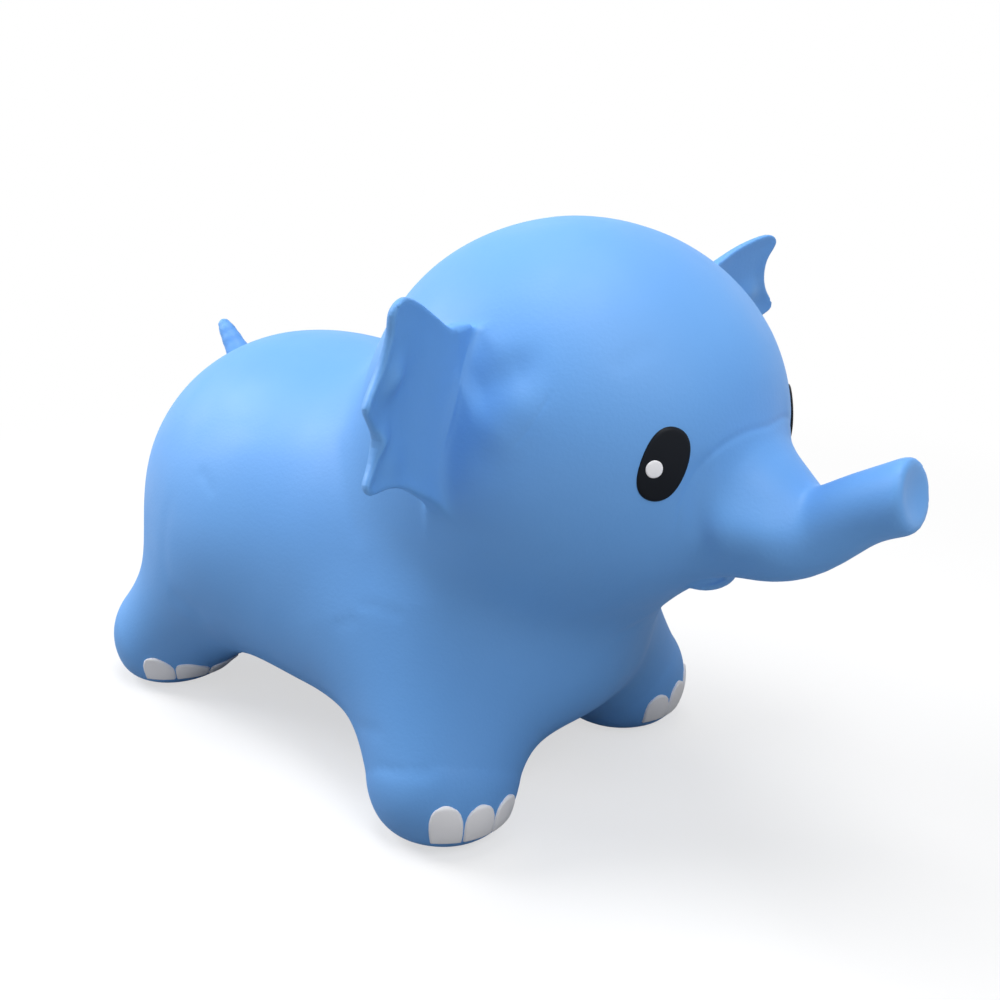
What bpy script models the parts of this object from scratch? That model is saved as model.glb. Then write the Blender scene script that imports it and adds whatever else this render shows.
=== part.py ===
"""Bouncy ride on elephant: a hollow vinyl skin filled with air, in separate members that meet at seams.

Metres. +X is forward, +Y is the elephant's left, +Z is up, and the soles stand on z = 0.
Each form is a blank of primitives, remeshed into even faces and settled on the blended skin.
"""

import math

import bmesh
import bpy
import numpy as np
from mathutils import Matrix, Vector
from mathutils.bvhtree import BVHTree

# Skin and clearances
WALL = 0.0020
LEAST_WALL = 0.0015
SEAM_GAP = 0.0003
SEAT_GAP = 0.0005
SOLE_CUT = 0.0005
OVERRUN = 0.02
CUTTER_REACH = 0.9
PROBE = 0.0004

# Body
RUMP_X = -0.1605
RUMP_Z = 0.149
RUMP_HALF_LENGTH = 0.163
RUMP_HALF_WIDTH = 0.139
RUMP_HALF_HEIGHT = 0.146
CHEST_X = -0.0165
CHEST_Z = 0.124
CHEST_HALF_LENGTH = 0.163
CHEST_HALF_WIDTH = 0.130
CHEST_HALF_HEIGHT = 0.152
BACK_BLEND = 0.107
BELLY_HEIGHT = 0.038
BELLY_BLEND = 0.085

# Head
HEAD_X = 0.0955
HEAD_Z = 0.276
HEAD_HALF_LENGTH = 0.140
HEAD_HALF_WIDTH = 0.134
HEAD_HALF_HEIGHT = 0.126
FACE_X = 0.1085
FACE_Z = 0.248
FACE_HALF_LENGTH = 0.102
FACE_HALF_WIDTH = 0.101
FACE_HALF_HEIGHT = 0.091
FACE_BLEND = 0.061
NECK_BLEND = 0.084
NAPE_X = -0.0425
NAPE_Z = 0.299
THROAT_X = 0.1485
THROAT_CLEARANCE = 0.0145

# Trunk, from its root in the face to its tip, with shares of its run, its rise and its root radius
TRUNK_ROOT_X = 0.1665
TRUNK_ROOT_Z = 0.240
TRUNK_RUN = 0.159
TRUNK_RISE = 0.0282
TRUNK_ROOT_RADIUS = 0.054
TRUNK_BLEND = 0.030
TRUNK_RUN_SHARES = (0.0, 0.336, 0.513, 0.651, 0.840, 1.0)
TRUNK_RISE_SHARES = (0.0, -0.053, -0.337, -0.255, 0.461, 1.0)
TRUNK_RADIUS_SHARES = (1.0, 0.815, 0.611, 0.441, 0.326, 0.352)
TRUNK_TIP_TILT = math.radians(12)
TRUNK_TIP_EDGE = 0.010
TRUNK_DISH_RADIUS = 0.034
TRUNK_DISH_DEPTH = 0.004
TRUNK_DISH_EDGE = 0.006
TRUNK_SEAM_X = 0.2255
TRUNK_SEAM_Z = 0.262
TRUNK_SEAM_DROP = math.radians(16.5)
TRUNK_SEAM_RADIUS = 0.085
TRUNK_FLEX = 0.024
TRUNK_STEP_BLEND = 0.004

# Legs and feet
FRONT_HIP_X = 0.0335
FRONT_HIP_Y = 0.0605
FRONT_HIP_Z = 0.113
FRONT_HIP_RADIUS = 0.067
FRONT_FOOT_X = 0.0725
FRONT_FOOT_Y = 0.105
HIND_HIP_INSET = 0.1665
HIND_HIP_Y = 0.0785
HIND_HIP_Z = 0.143
HIND_HIP_RADIUS = 0.047
HIND_FOOT_INSET = 0.069
HIND_FOOT_Y = 0.094
FOOT_Z = 0.0345
FOOT_RADIUS = 0.0515
SOLE_EDGE = 0.02
SOLE_PRESS = 0.0018
LEG_BLEND = 0.062
LEG_SEAM_RADIUS = 0.078
FOOT_HEIGHT = 0.022
FOOT_SEAM_RADIUS = 0.062

# Toenails: how far each foot's middle nail points outwards, and the size of one nail
NAIL_HEIGHT = 0.0318
NAIL_HEIGHT_SHARES = (0.80, 0.90, 1.0)
NAIL_FOOT_Z = 0.0105
HIND_NAIL_FOOT_Z = 0.0085
HIND_NAIL_HEIGHT = 0.026
HIND_NAIL_HEIGHT_SHARES = (1.0, 1.0, 1.0)
NAIL_THICKNESS = 0.0012
NAIL_PITCH = math.radians(26.5)
HIND_NAIL_PITCH = math.radians(32)
NAIL_GROOVE = 0.0011
NAIL_SEAT_GAP = 0.0008
LEFT_FRONT_NAIL_TURN = math.radians(7)
RIGHT_FRONT_NAIL_TURN = math.radians(18)
HIND_NAIL_TURN = math.radians(20)
NAIL_ROW_SHARES = (0.0, 0.22, 0.44, 0.66, 0.84, 0.96)
NAIL_WIDTH_SHARES = (0.90, 1.0, 1.0, 0.97, 0.84, 0.58)
NAIL_CROWN_SHARE = 0.06
NAILS_PER_FOOT = 3

# Ears: the outline runs round the lobe from the upper root, as shares of its reach and of its half height
EAR_X = 0.0990
EAR_Y = 0.130
EAR_Z = 0.300
EAR_SWEEP = math.radians(10.8)
EAR_REACH = 0.0875
EAR_HALF_HEIGHT = 0.077
EAR_ROOT_HALF_THICKNESS = 0.0068
EAR_RIM_HALF_THICKNESS = 0.0048
EAR_EDGE = 0.009
EAR_CUP = 0.007
EAR_CURL = 0.004
EAR_CUP_HALF_HEIGHT = 0.05
EAR_LEAN_SLOPE = math.tan(math.radians(5.71))
EAR_TIP_CURL = 0.009
EAR_FLEX = 0.014
EAR_ROOT_LEAN = math.radians(14.5)
EAR_OUTLINE_SHARES = (
    (-0.226, 0.500), (0.091, 0.670), (0.246, 0.770), (0.430, 0.882), (0.590, 0.958),
    (0.740, 1.003), (0.835, 0.974), (0.870, 0.894), (0.830, 0.746), (0.850, 0.584),
    (0.905, 0.457), (0.990, 0.338), (1.012, 0.250), (0.890, 0.130), (0.770, -0.020),
    (0.810, -0.185), (0.905, -0.310), (0.860, -0.400), (0.740, -0.430), (0.590, -0.445),
    (0.400, -0.510), (0.170, -0.660), (-0.050, -0.810), (-0.300, -0.980),
)

# Tail, from its root inside the rump to its tip
TAIL_ROOT_INSET = 0.073
TAIL_ROOT_Z = 0.246
TAIL_RUN = 0.034
TAIL_RISE = 0.0425
TAIL_ROOT_RADIUS = 0.014
TAIL_SEAM_LIFT = 0.0055
TAIL_RUN_SHARES = (0.0, 0.24, 0.46, 0.66, 0.84, 0.96, 1.0)
TAIL_RISE_SHARES = (0.0, 0.25, 0.48, 0.68, 0.86, 0.97, 1.0)
TAIL_RADIUS_SHARES = (1.0, 0.84, 0.72, 0.61, 0.50, 0.38, 0.24)

# Eyes
EYE_X = 0.2142
EYE_Y = 0.0738
EYE_Z = 0.2793
EYE_HALF_WIDTH = 0.0150
EYE_HALF_HEIGHT = 0.0224
EYE_LEAN = math.radians(20)
EYE_THICKNESS = 0.0008
HIGHLIGHT_RADIUS = 0.0052
HIGHLIGHT_BACK = 0.0064
HIGHLIGHT_DROP = 0.0016

# Lower lip under the trunk
LIP_X = 0.2080
LIP_Z = 0.188
LIP_HALF_LENGTH = 0.0145
LIP_HALF_WIDTH = 0.023
LIP_HALF_HEIGHT = 0.0085
LIP_SEAT_GAP = 0.0008

# Air valve in the back of the rump
VALVE_Z = 0.149
VALVE_SEAT_RADIUS = 0.0095
VALVE_FLANGE_RADIUS = 0.0125
VALVE_FLANGE_THICKNESS = 0.0016
VALVE_SEAT_DEPTH = 0.011
VALVE_BORE_RADIUS = 0.0045
VALVE_CLEARANCE = 0.0003
PLUG_HEAD_RADIUS = 0.0085
PLUG_HEAD_THICKNESS = 0.0022
PLUG_TIP_RADIUS = 0.0032

# Mesh fineness
SKIN_VOXEL = 0.0075
TRUNK_VOXEL = 0.004
EAR_VOXEL = 0.004
OUTER_FACES_SHARE = 0.0525
INNER_FACES_SHARE = 0.019
TRUNK_OUTER_SHARE = 0.056
TRUNK_INNER_SHARE = 0.022
EAR_FACES_SHARE = 0.07
LIP_FACES_SHARE = 0.25
SETTLE_ROUNDS = 9
TRUNK_STEPS = 4
EAR_STEPS = 3
EYE_GRID = 8
HIGHLIGHT_GRID = 5
NAIL_GRID = 5
ROUND_STEPS = 32

SIDES = (("left", 1), ("right", -1))

# Places that follow from the sizes above
RUMP_BACK_X = RUMP_X - RUMP_HALF_LENGTH
HIND_HIP_X = RUMP_BACK_X + HIND_HIP_INSET
HIND_FOOT_X = RUMP_BACK_X + HIND_FOOT_INSET
TAIL_ROOT_X = RUMP_BACK_X + TAIL_ROOT_INSET
THROAT_Z = FOOT_Z + LEG_SEAM_RADIUS + THROAT_CLEARANCE


def clear_scene():
    for thing in list(bpy.data.objects):
        bpy.data.objects.remove(thing, do_unlink=True)


def new_collection(name):
    collection = bpy.data.collections.new(name)
    bpy.context.scene.collection.children.link(collection)
    return collection


def material(name, colour, roughness):
    made = bpy.data.materials.new(name)
    made.use_nodes = True
    shader = made.node_tree.nodes["Principled BSDF"]
    shader.inputs["Base Color"].default_value = (*colour, 1.0)
    shader.inputs["Roughness"].default_value = roughness
    return made


# Blended skin, as signed distances from it

def smooth_min(a, b, blend):
    share = np.maximum(blend - np.abs(a - b), 0) / blend
    return np.minimum(a, b) - share ** 3 * blend / 6


def smooth_max(a, b, blend):
    return -smooth_min(-a, -b, blend)


def ellipsoid(points, centre, radii):
    offset = points - np.array(centre)
    radii = np.array(radii)
    reach = np.sqrt(((offset / radii) ** 2).sum(-1) + 1e-12)
    slope = np.sqrt(((offset / radii ** 2) ** 2).sum(-1) + 1e-12)
    return reach * (reach - 1) / slope


def round_cone(points, start, end, start_radius, end_radius):
    start = np.array(start)
    along = np.array(end) - start
    share = np.clip(((points - start) @ along) / (along @ along), 0, 1)
    offset = points - start - share[..., None] * along
    return np.sqrt((offset * offset).sum(-1) + 1e-12) - (start_radius + (end_radius - start_radius) * share)


def smooth_curve(stations, steps, closed=False):
    stations = np.array(stations, float)
    if closed:
        padded = np.vstack([stations[-1], stations, stations[:2]])
    else:
        padded = np.vstack([2 * stations[0] - stations[1], stations, 2 * stations[-1] - stations[-2]])
    points = []
    for a, b, c, d in zip(padded, padded[1:], padded[2:], padded[3:]):
        for share in np.arange(steps) / steps:
            points.append(
                0.5 * (2 * b + (c - a) * share + (2 * a - 5 * b + 4 * c - d) * share ** 2
                       + (3 * b - a - 3 * c + d) * share ** 3)
            )
    if not closed:
        points.append(stations[-1])
    return np.array(points)


def outline_distance(u, v, outline):
    """Signed distance in the plane from a closed outline, negative inside it."""
    nearest = np.full(u.shape, np.inf)
    inside = np.zeros(u.shape, bool)
    for (au, av), (bu, bv) in zip(outline, np.roll(outline, -1, axis=0)):
        du, dv = bu - au, bv - av
        share = np.clip(((u - au) * du + (v - av) * dv) / (du * du + dv * dv), 0, 1)
        nearest = np.minimum(nearest, (u - au - share * du) ** 2 + (v - av - share * dv) ** 2)
        if av != bv:
            crosses = ((av <= v) & (bv > v)) | ((bv <= v) & (av > v))
            inside ^= crosses & (u < au + (v - av) / (bv - av) * du)
    return np.where(inside, -np.sqrt(nearest), np.sqrt(nearest))


def trunk_stations():
    stations = [
        (TRUNK_ROOT_X + TRUNK_RUN * run, TRUNK_ROOT_Z + TRUNK_RISE * rise, TRUNK_ROOT_RADIUS * radius)
        for run, rise, radius in zip(TRUNK_RUN_SHARES, TRUNK_RISE_SHARES, TRUNK_RADIUS_SHARES)
    ]
    return smooth_curve(stations, TRUNK_STEPS)


def trunk_tip():
    end_x, end_z, _ = trunk_stations()[-1]
    facing = np.array([math.cos(TRUNK_TIP_TILT), 0, math.sin(TRUNK_TIP_TILT)])
    return np.array([end_x, 0, end_z]), facing


def trunk_form(points):
    stations = trunk_stations()
    run = stations[-1] - stations[-2]
    past = stations[-1] + run * (OVERRUN / np.linalg.norm(run[:2]))
    form = None
    for (ax, az, ar), (bx, bz, br) in zip(stations, [*stations[1:], past]):
        piece = round_cone(points, (ax, 0, az), (bx, 0, bz), ar, br)
        form = piece if form is None else smooth_min(form, piece, TRUNK_STEP_BLEND)
    tip, facing = trunk_tip()
    form = smooth_max(form, (points - tip) @ facing, TRUNK_TIP_EDGE)
    dish = tip + facing * (TRUNK_DISH_RADIUS - TRUNK_DISH_DEPTH)
    dish_form = np.sqrt(((points - dish) ** 2).sum(-1)) - TRUNK_DISH_RADIUS
    return smooth_max(form, -dish_form, TRUNK_DISH_EDGE)


def leg_places():
    """Hip, foot and hip radius of the front legs and of the hind legs, on the left side."""
    return {
        "front": ((FRONT_HIP_X, FRONT_HIP_Y, FRONT_HIP_Z), (FRONT_FOOT_X, FRONT_FOOT_Y, FOOT_Z), FRONT_HIP_RADIUS),
        "hind": ((HIND_HIP_X, HIND_HIP_Y, HIND_HIP_Z), (HIND_FOOT_X, HIND_FOOT_Y, FOOT_Z), HIND_HIP_RADIUS),
    }


def ellipsoids():
    return {
        "rump": ((RUMP_X, 0, RUMP_Z), (RUMP_HALF_LENGTH, RUMP_HALF_WIDTH, RUMP_HALF_HEIGHT)),
        "chest": ((CHEST_X, 0, CHEST_Z), (CHEST_HALF_LENGTH, CHEST_HALF_WIDTH, CHEST_HALF_HEIGHT)),
        "head": ((HEAD_X, 0, HEAD_Z), (HEAD_HALF_LENGTH, HEAD_HALF_WIDTH, HEAD_HALF_HEIGHT)),
        "face": ((FACE_X, 0, FACE_Z), (FACE_HALF_LENGTH, FACE_HALF_WIDTH, FACE_HALF_HEIGHT)),
    }


def skin(points):
    """Signed distance from the outer face of the inflated body, negative inside it."""
    balls = {name: ellipsoid(points, *ball) for name, ball in ellipsoids().items()}
    below = -(points[..., 2] + SOLE_CUT)
    form = smooth_min(balls["rump"], balls["chest"], BACK_BLEND)
    form = smooth_max(form, BELLY_HEIGHT - points[..., 2], BELLY_BLEND)
    form = smooth_min(form, smooth_min(balls["head"], balls["face"], FACE_BLEND), NECK_BLEND)
    form = smooth_min(form, trunk_form(points), TRUNK_BLEND)
    mirrored = points * np.array([1, 0, 1]) + np.abs(points) * np.array([0, 1, 0])
    for hip, foot, hip_radius in leg_places().values():
        leg = round_cone(mirrored, hip, foot, hip_radius, FOOT_RADIUS)
        form = smooth_min(form, smooth_max(leg, below, SOLE_EDGE), LEG_BLEND)
    return np.maximum(form, below)


def ear_axes():
    outward = np.array([math.sin(EAR_SWEEP), math.cos(EAR_SWEEP), 0])
    forward = np.array([math.cos(EAR_SWEEP), -math.sin(EAR_SWEEP), 0])
    return np.array([EAR_X, EAR_Y, EAR_Z]), outward, forward


def ear_outline():
    outline = np.array(EAR_OUTLINE_SHARES) * np.array([EAR_REACH, EAR_HALF_HEIGHT])
    return smooth_curve(outline, EAR_STEPS, closed=True)


def ear_bend(u, v):
    """How far the lobe's middle layer lies ahead of its plane: hollow, leaning and curled forward at its top."""
    reach = np.clip(u / EAR_REACH, 0, 1)
    hollow = EAR_CUP * 4 * reach * (1 - reach) * np.exp(-((v / EAR_CUP_HALF_HEIGHT) ** 2))
    high = np.clip(v / EAR_HALF_HEIGHT, 0, 1)
    return EAR_CURL * reach ** 2 - hollow + EAR_LEAN_SLOPE * v + EAR_TIP_CURL * high ** 2 * reach


def ear_form(points):
    """Signed distance from the left ear's cupped lobe."""
    root, outward, forward = ear_axes()
    offset = points - root
    u, v = offset @ outward, offset[..., 2]
    w = offset @ forward - ear_bend(u, v)
    reach = np.clip(u / EAR_REACH, 0, 1)
    half = EAR_ROOT_HALF_THICKNESS + (EAR_RIM_HALF_THICKNESS - EAR_ROOT_HALF_THICKNESS) * reach
    return smooth_max(outline_distance(u, v, ear_outline()), np.abs(w) - half, EAR_EDGE)


def slope_of(form, points):
    steps = np.eye(3) * PROBE
    return np.stack([(form(points + step) - form(points - step)) / (2 * PROBE) for step in steps], -1)


def settle(form, points, level, rounds=SETTLE_ROUNDS):
    """Moves points along the slope until they lie at this distance outside the form."""
    points = np.array(points, float)
    for _ in range(rounds):
        slope = slope_of(form, points)
        steep = np.maximum((slope * slope).sum(-1), 0.1)
        points -= ((form(points) - level) / steep)[:, None] * slope
    return points


# Meshes and modifiers

def points_of(mesh):
    flat = np.empty(len(mesh.vertices) * 3)
    mesh.vertices.foreach_get("co", flat)
    return flat.reshape(-1, 3)


def set_points(mesh, points):
    mesh.vertices.foreach_set("co", np.ascontiguousarray(points, np.float32).ravel())
    mesh.update()


def put_in(collection, thing):
    for holder in list(thing.users_collection):
        holder.objects.unlink(thing)
    collection.objects.link(thing)


def applied(thing):
    """A new mesh of the object as its modifiers leave it."""
    bpy.context.view_layer.update()
    evaluated = thing.evaluated_get(bpy.context.evaluated_depsgraph_get())
    return bpy.data.meshes.new_from_object(evaluated)


def bake(thing):
    mesh = applied(thing)
    thing.modifiers.clear()
    thing.data = mesh


def helper(name, mesh):
    thing = bpy.data.objects.new(name, mesh)
    GUIDES.objects.link(thing)
    thing.hide_render = True
    thing.display_type = "WIRE"
    return thing


def smooth_shading(mesh):
    mesh.polygons.foreach_set("use_smooth", [True] * len(mesh.polygons))
    mesh.set_sharp_from_angle(angle=math.radians(40))


def remeshed(thing, voxel):
    modifier = thing.modifiers.new("even_faces", "REMESH")
    modifier.mode = "VOXEL"
    modifier.voxel_size = voxel
    bake(thing)


def thinned(thing, share):
    modifier = thing.modifiers.new("fewer_faces", "DECIMATE")
    modifier.ratio = share
    bake(thing)
    mesh = bmesh.new()
    mesh.from_mesh(thing.data)
    bmesh.ops.triangulate(mesh, faces=mesh.faces)
    mesh.to_mesh(thing.data)
    mesh.free()


def welded(mesh):
    """Joins points that coincide, as where caps meet sides, and turns the faces outwards."""
    weld = bmesh.new()
    weld.from_mesh(mesh)
    bmesh.ops.remove_doubles(weld, verts=weld.verts, dist=PROBE / 4)
    bmesh.ops.recalc_face_normals(weld, faces=weld.faces)
    weld.to_mesh(mesh)
    weld.free()


def ball_blank(name, centre, radii):
    bpy.ops.mesh.primitive_uv_sphere_add(segments=ROUND_STEPS, ring_count=ROUND_STEPS // 2, radius=1, location=centre)
    thing = bpy.context.object
    thing.name = name
    thing.scale = radii
    bpy.ops.object.transform_apply(location=True, rotation=True, scale=True)
    return thing


def tube_blank(name, stations):
    """A tapered tube with closed ends through (point, radius) stations."""
    curve = bpy.data.curves.new(name, "CURVE")
    curve.dimensions = "3D"
    curve.bevel_depth = 1
    curve.bevel_resolution = 4
    curve.use_fill_caps = True
    spline = curve.splines.new("POLY")
    spline.points.add(len(stations) - 1)
    for point, (place, radius) in zip(spline.points, stations):
        point.co = (*place, 1)
        point.radius = radius
    thing = bpy.data.objects.new(name, curve)
    bpy.context.scene.collection.objects.link(thing)
    mesh = applied(thing)
    bpy.data.objects.remove(thing)
    welded(mesh)
    thing = bpy.data.objects.new(name, mesh)
    bpy.context.scene.collection.objects.link(thing)
    return thing


def joined(name, things):
    bpy.ops.object.select_all(action="DESELECT")
    for thing in things:
        thing.select_set(True)
    bpy.context.view_layer.objects.active = things[0]
    bpy.ops.object.join()
    thing = bpy.context.object
    thing.name = name
    put_in(GUIDES, thing)
    thing.hide_render = True
    thing.display_type = "WIRE"
    return thing


def turned_to(axis):
    """The rotation that takes +Z to this direction."""
    return Vector((0, 0, 1)).rotation_difference(Vector(axis)).to_matrix().to_4x4()


def rod_cutter(name, foot, axis, radius, length):
    """A cylinder standing on this point and running along the axis."""
    axis = Vector(axis).normalized()
    bpy.ops.mesh.primitive_cylinder_add(vertices=ROUND_STEPS, radius=radius, depth=length)
    thing = bpy.context.object
    thing.name = name
    middle = Vector(foot) + axis * (length / 2)
    thing.data.transform(Matrix.Translation(middle) @ turned_to(axis))
    put_in(GUIDES, thing)
    thing.hide_render = True
    thing.display_type = "WIRE"
    return thing


def ball_cutter(name, centre, radius):
    thing = ball_blank(name, centre, (radius, radius, radius))
    put_in(GUIDES, thing)
    thing.hide_render = True
    thing.display_type = "WIRE"
    return thing


def cut(thing, other, operation):
    modifier = thing.modifiers.new(f"{operation.lower()}_{other.name}", "BOOLEAN")
    modifier.operation = operation
    modifier.solver = "EXACT"
    modifier.object = other


def member(name, blank, steps, look, cavity=None):
    """A piece of the blank, kept inside or outside each cutter and opened by the air space."""
    thing = bpy.data.objects.new(name, blank.data.copy())
    PARTS.objects.link(thing)
    for other, operation in steps:
        cut(thing, other, operation)
    if cavity is not None:
        cut(thing, cavity, "DIFFERENCE")
    bake(thing)
    smooth_shading(thing.data)
    thing.data.materials.clear()
    thing.data.materials.append(look)
    return thing


def pivot_at(thing, place):
    """Moves the piece's origin to its joint, leaving its shape where it is."""
    place = Vector(place)
    thing.data.transform(Matrix.Translation(-place))
    thing.location = place


def carried_by(thing, carrier):
    bpy.context.view_layer.update()
    thing.parent = carrier
    thing.matrix_parent_inverse = carrier.matrix_world.inverted()


def mirrored_place(place, side):
    return (place[0], place[1] * side, place[2])


# Blanks of the skin

def skin_blank():
    things = [ball_blank(f"blank_{name}", *ball) for name, ball in ellipsoids().items()]
    for name, (hip, foot, hip_radius) in leg_places().items():
        for side_name, side in SIDES:
            places = [(mirrored_place(hip, side), hip_radius), (mirrored_place(foot, side), FOOT_RADIUS)]
            things.append(tube_blank(f"blank_leg_{name}_{side_name}", places))
            things.append(ball_blank(f"blank_foot_{name}_{side_name}", places[1][0], (FOOT_RADIUS,) * 3))
    stations = [((x, 0, z), radius) for x, z, radius in trunk_stations()]
    things.append(tube_blank("blank_trunk", stations))
    blank = joined("blank_skin", things)
    remeshed(blank, SKIN_VOXEL)
    return blank


def trunk_blank():
    """The same skin ahead of the eyes, with finer faces for the narrow trunk."""
    stations = [((x, 0, z), radius) for x, z, radius in trunk_stations()]
    blank = joined("blank_trunk_fine", [
        ball_blank("blank_face_fine", *ellipsoids()["face"]), tube_blank("blank_trunk_tube", stations),
    ])
    remeshed(blank, TRUNK_VOXEL)
    return blank


def settled_copy(name, blank, form, level, share=None):
    thing = helper(name, blank.data.copy())
    set_points(thing.data, settle(form, points_of(thing.data), level))
    if share is not None:
        thinned(thing, share)
        set_points(thing.data, settle(form, points_of(thing.data), level))
    return thing


def kept_clear(cavity, outer):
    """Lowers the points of air space faces that come nearer than the least wall to the outer faces."""
    tree = BVHTree.FromPolygons(points_of(outer.data), [polygon.vertices for polygon in outer.data.polygons])
    corners = np.array([polygon.vertices for polygon in cavity.data.polygons])
    for _ in range(SETTLE_ROUNDS):
        points = points_of(cavity.data)
        places = points[corners]
        lacking = np.zeros(len(corners))
        samples = [places.mean(1)]
        for i in range(3):
            samples += [places[:, i], (places[:, i] + places[:, i - 1]) / 2]
        for sample in samples:
            for index, place in enumerate(sample):
                nearest, normal, _, _ = tree.find_nearest(place)
                depth = (nearest - Vector(place)).dot(normal)
                lacking[index] = max(lacking[index], LEAST_WALL - depth)
        deeper = np.zeros(len(points))
        for i in range(3):
            np.maximum.at(deeper, corners[:, i], lacking)
        slope = slope_of(skin, points)
        points -= deeper[:, None] * slope / np.maximum((slope * slope).sum(-1), 0.1)[:, None]
        set_points(cavity.data, points)


def soles_pressed(thing):
    """The lowest points of the feet lie flat, just under the floor where the feet are cut."""
    points = points_of(thing.data)
    points[points[:, 2] < SOLE_PRESS, 2] = -SOLE_CUT
    set_points(thing.data, points)


def ear_blank():
    root, outward, forward = ear_axes()
    curve = bpy.data.curves.new("blank_ear", "CURVE")
    curve.dimensions = "2D"
    curve.fill_mode = "BOTH"
    curve.extrude = EAR_RIM_HALF_THICKNESS
    outline = ear_outline()
    spline = curve.splines.new("POLY")
    spline.points.add(len(outline) - 1)
    for point, (u, v) in zip(spline.points, outline):
        point.co = (u, v, 0, 1)
    spline.use_cyclic_u = True
    thing = bpy.data.objects.new("blank_ear", curve)
    GUIDES.objects.link(thing)
    mesh = applied(thing)
    bpy.data.objects.remove(thing)
    welded(mesh)
    blank = helper("blank_ear", mesh)
    remeshed(blank, EAR_VOXEL)
    points = points_of(blank.data)
    points[:, 2] += ear_bend(points[:, 0], points[:, 1])
    set_points(blank.data, root + points @ np.array([outward, (0, 0, 1), forward]))
    welded(blank.data)
    return blank


# Pieces

def trunk_seam():
    """Where the trunk's sleeve starts, and the way it runs."""
    ahead = np.array([math.cos(TRUNK_SEAM_DROP), 0, -math.sin(TRUNK_SEAM_DROP)])
    return np.array([TRUNK_SEAM_X, 0, TRUNK_SEAM_Z]), ahead


def trunk_pivot():
    """The trunk bends about its own middle line, half way along the sleeve."""
    foot, ahead = trunk_seam()
    middle = foot + ahead * (TRUNK_FLEX / 2)
    downward = np.array([-math.sin(TRUNK_SEAM_DROP), 0, -math.cos(TRUNK_SEAM_DROP)])
    return middle + downward * ((TRUNK_ROOT_Z - middle[2]) / downward[2])


def build_skin(looks):
    blank = skin_blank()
    outer = settled_copy("skin_outer", blank, skin, 0, OUTER_FACES_SHARE)
    soles_pressed(outer)
    cavity = settled_copy("skin_air_space", blank, skin, -WALL, INNER_FACES_SHARE)
    kept_clear(cavity, outer)
    fine_blank = trunk_blank()
    fine_outer = settled_copy("skin_outer_fine", fine_blank, skin, 0, TRUNK_OUTER_SHARE)
    fine_cavity = settled_copy("skin_air_space_fine", fine_blank, skin, -WALL, TRUNK_INNER_SHARE)
    kept_clear(fine_cavity, fine_outer)
    clearance = helper("skin_clearance", outer.data.copy())
    set_points(clearance.data, settle(skin, points_of(clearance.data), SEAT_GAP))
    half = SEAM_GAP / 2

    neck_foot = np.array([(NAPE_X + THROAT_X) / 2, 0, (NAPE_Z + THROAT_Z) / 2])
    neck = np.array([NAPE_Z - THROAT_Z, 0, THROAT_X - NAPE_X])
    neck = neck / np.linalg.norm(neck)
    ahead = rod_cutter("cut_ahead_of_neck", neck_foot + neck * half, neck, CUTTER_REACH, CUTTER_REACH)
    behind = rod_cutter("cut_behind_neck", neck_foot - neck * half, -neck, CUTTER_REACH, CUTTER_REACH)

    trunk_foot, trunk = trunk_seam()
    trunk_reach = TRUNK_RUN + OVERRUN
    off_head = rod_cutter("cut_trunk_off", trunk_foot - trunk * half, trunk, TRUNK_SEAM_RADIUS, trunk_reach)
    root_start = trunk_foot + trunk * half
    root = rod_cutter("cut_trunk_root", root_start, trunk, TRUNK_SEAM_RADIUS, TRUNK_FLEX)
    tube_start = root_start + trunk * (TRUNK_FLEX + SEAM_GAP)
    tube = rod_cutter("cut_trunk_tube", tube_start, trunk, TRUNK_SEAM_RADIUS, trunk_reach)

    valve_hole = rod_cutter(
        "cut_valve_hole", (RUMP_BACK_X - OVERRUN, 0, VALVE_Z), (1, 0, 0),
        VALVE_SEAT_RADIUS + VALVE_CLEARANCE, OVERRUN * 2,
    )

    torso_steps = [(behind, "INTERSECT"), (valve_hole, "DIFFERENCE")]
    legs = []
    for place, (_, foot, _) in leg_places().items():
        for side_name, side in SIDES:
            centre = mirrored_place(foot, side)
            around = ball_cutter(f"cut_around_leg_{place}_{side_name}", centre, LEG_SEAM_RADIUS + half)
            within = ball_cutter(f"cut_leg_{place}_{side_name}", centre, LEG_SEAM_RADIUS - half)
            torso_steps.append((around, "DIFFERENCE"))
            legs.append((f"{place}_{side_name}", centre, within))
    member("torso_skin", outer, torso_steps, looks["vinyl"], cavity)
    member("head_skin", outer, [(ahead, "INTERSECT"), (off_head, "DIFFERENCE")], looks["vinyl"], cavity)
    member("trunk_root", fine_outer, [(root, "INTERSECT")], looks["vinyl"], fine_cavity)
    trunk_tube = member("trunk_tube", fine_outer, [(tube, "INTERSECT")], looks["vinyl"], fine_cavity)
    pivot_at(trunk_tube, trunk_pivot())
    for name, centre, within in legs:
        foot_off = rod_cutter(
            f"cut_foot_off_{name}", (centre[0], centre[1], -OVERRUN), (0, 0, 1),
            FOOT_SEAM_RADIUS + SEAM_GAP, OVERRUN + FOOT_HEIGHT + half,
        )
        foot = rod_cutter(
            f"cut_foot_{name}", (centre[0], centre[1], 0), (0, 0, 1), FOOT_SEAM_RADIUS, FOOT_HEIGHT - half,
        )
        member(f"leg_{name}", outer, [(within, "INTERSECT"), (foot_off, "DIFFERENCE")], looks["vinyl"], cavity)
        foot_skin = member(f"foot_{name}", outer, [(foot, "INTERSECT")], looks["vinyl"], cavity)
        pivot_at(foot_skin, (centre[0], centre[1], 0))
    return clearance


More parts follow.
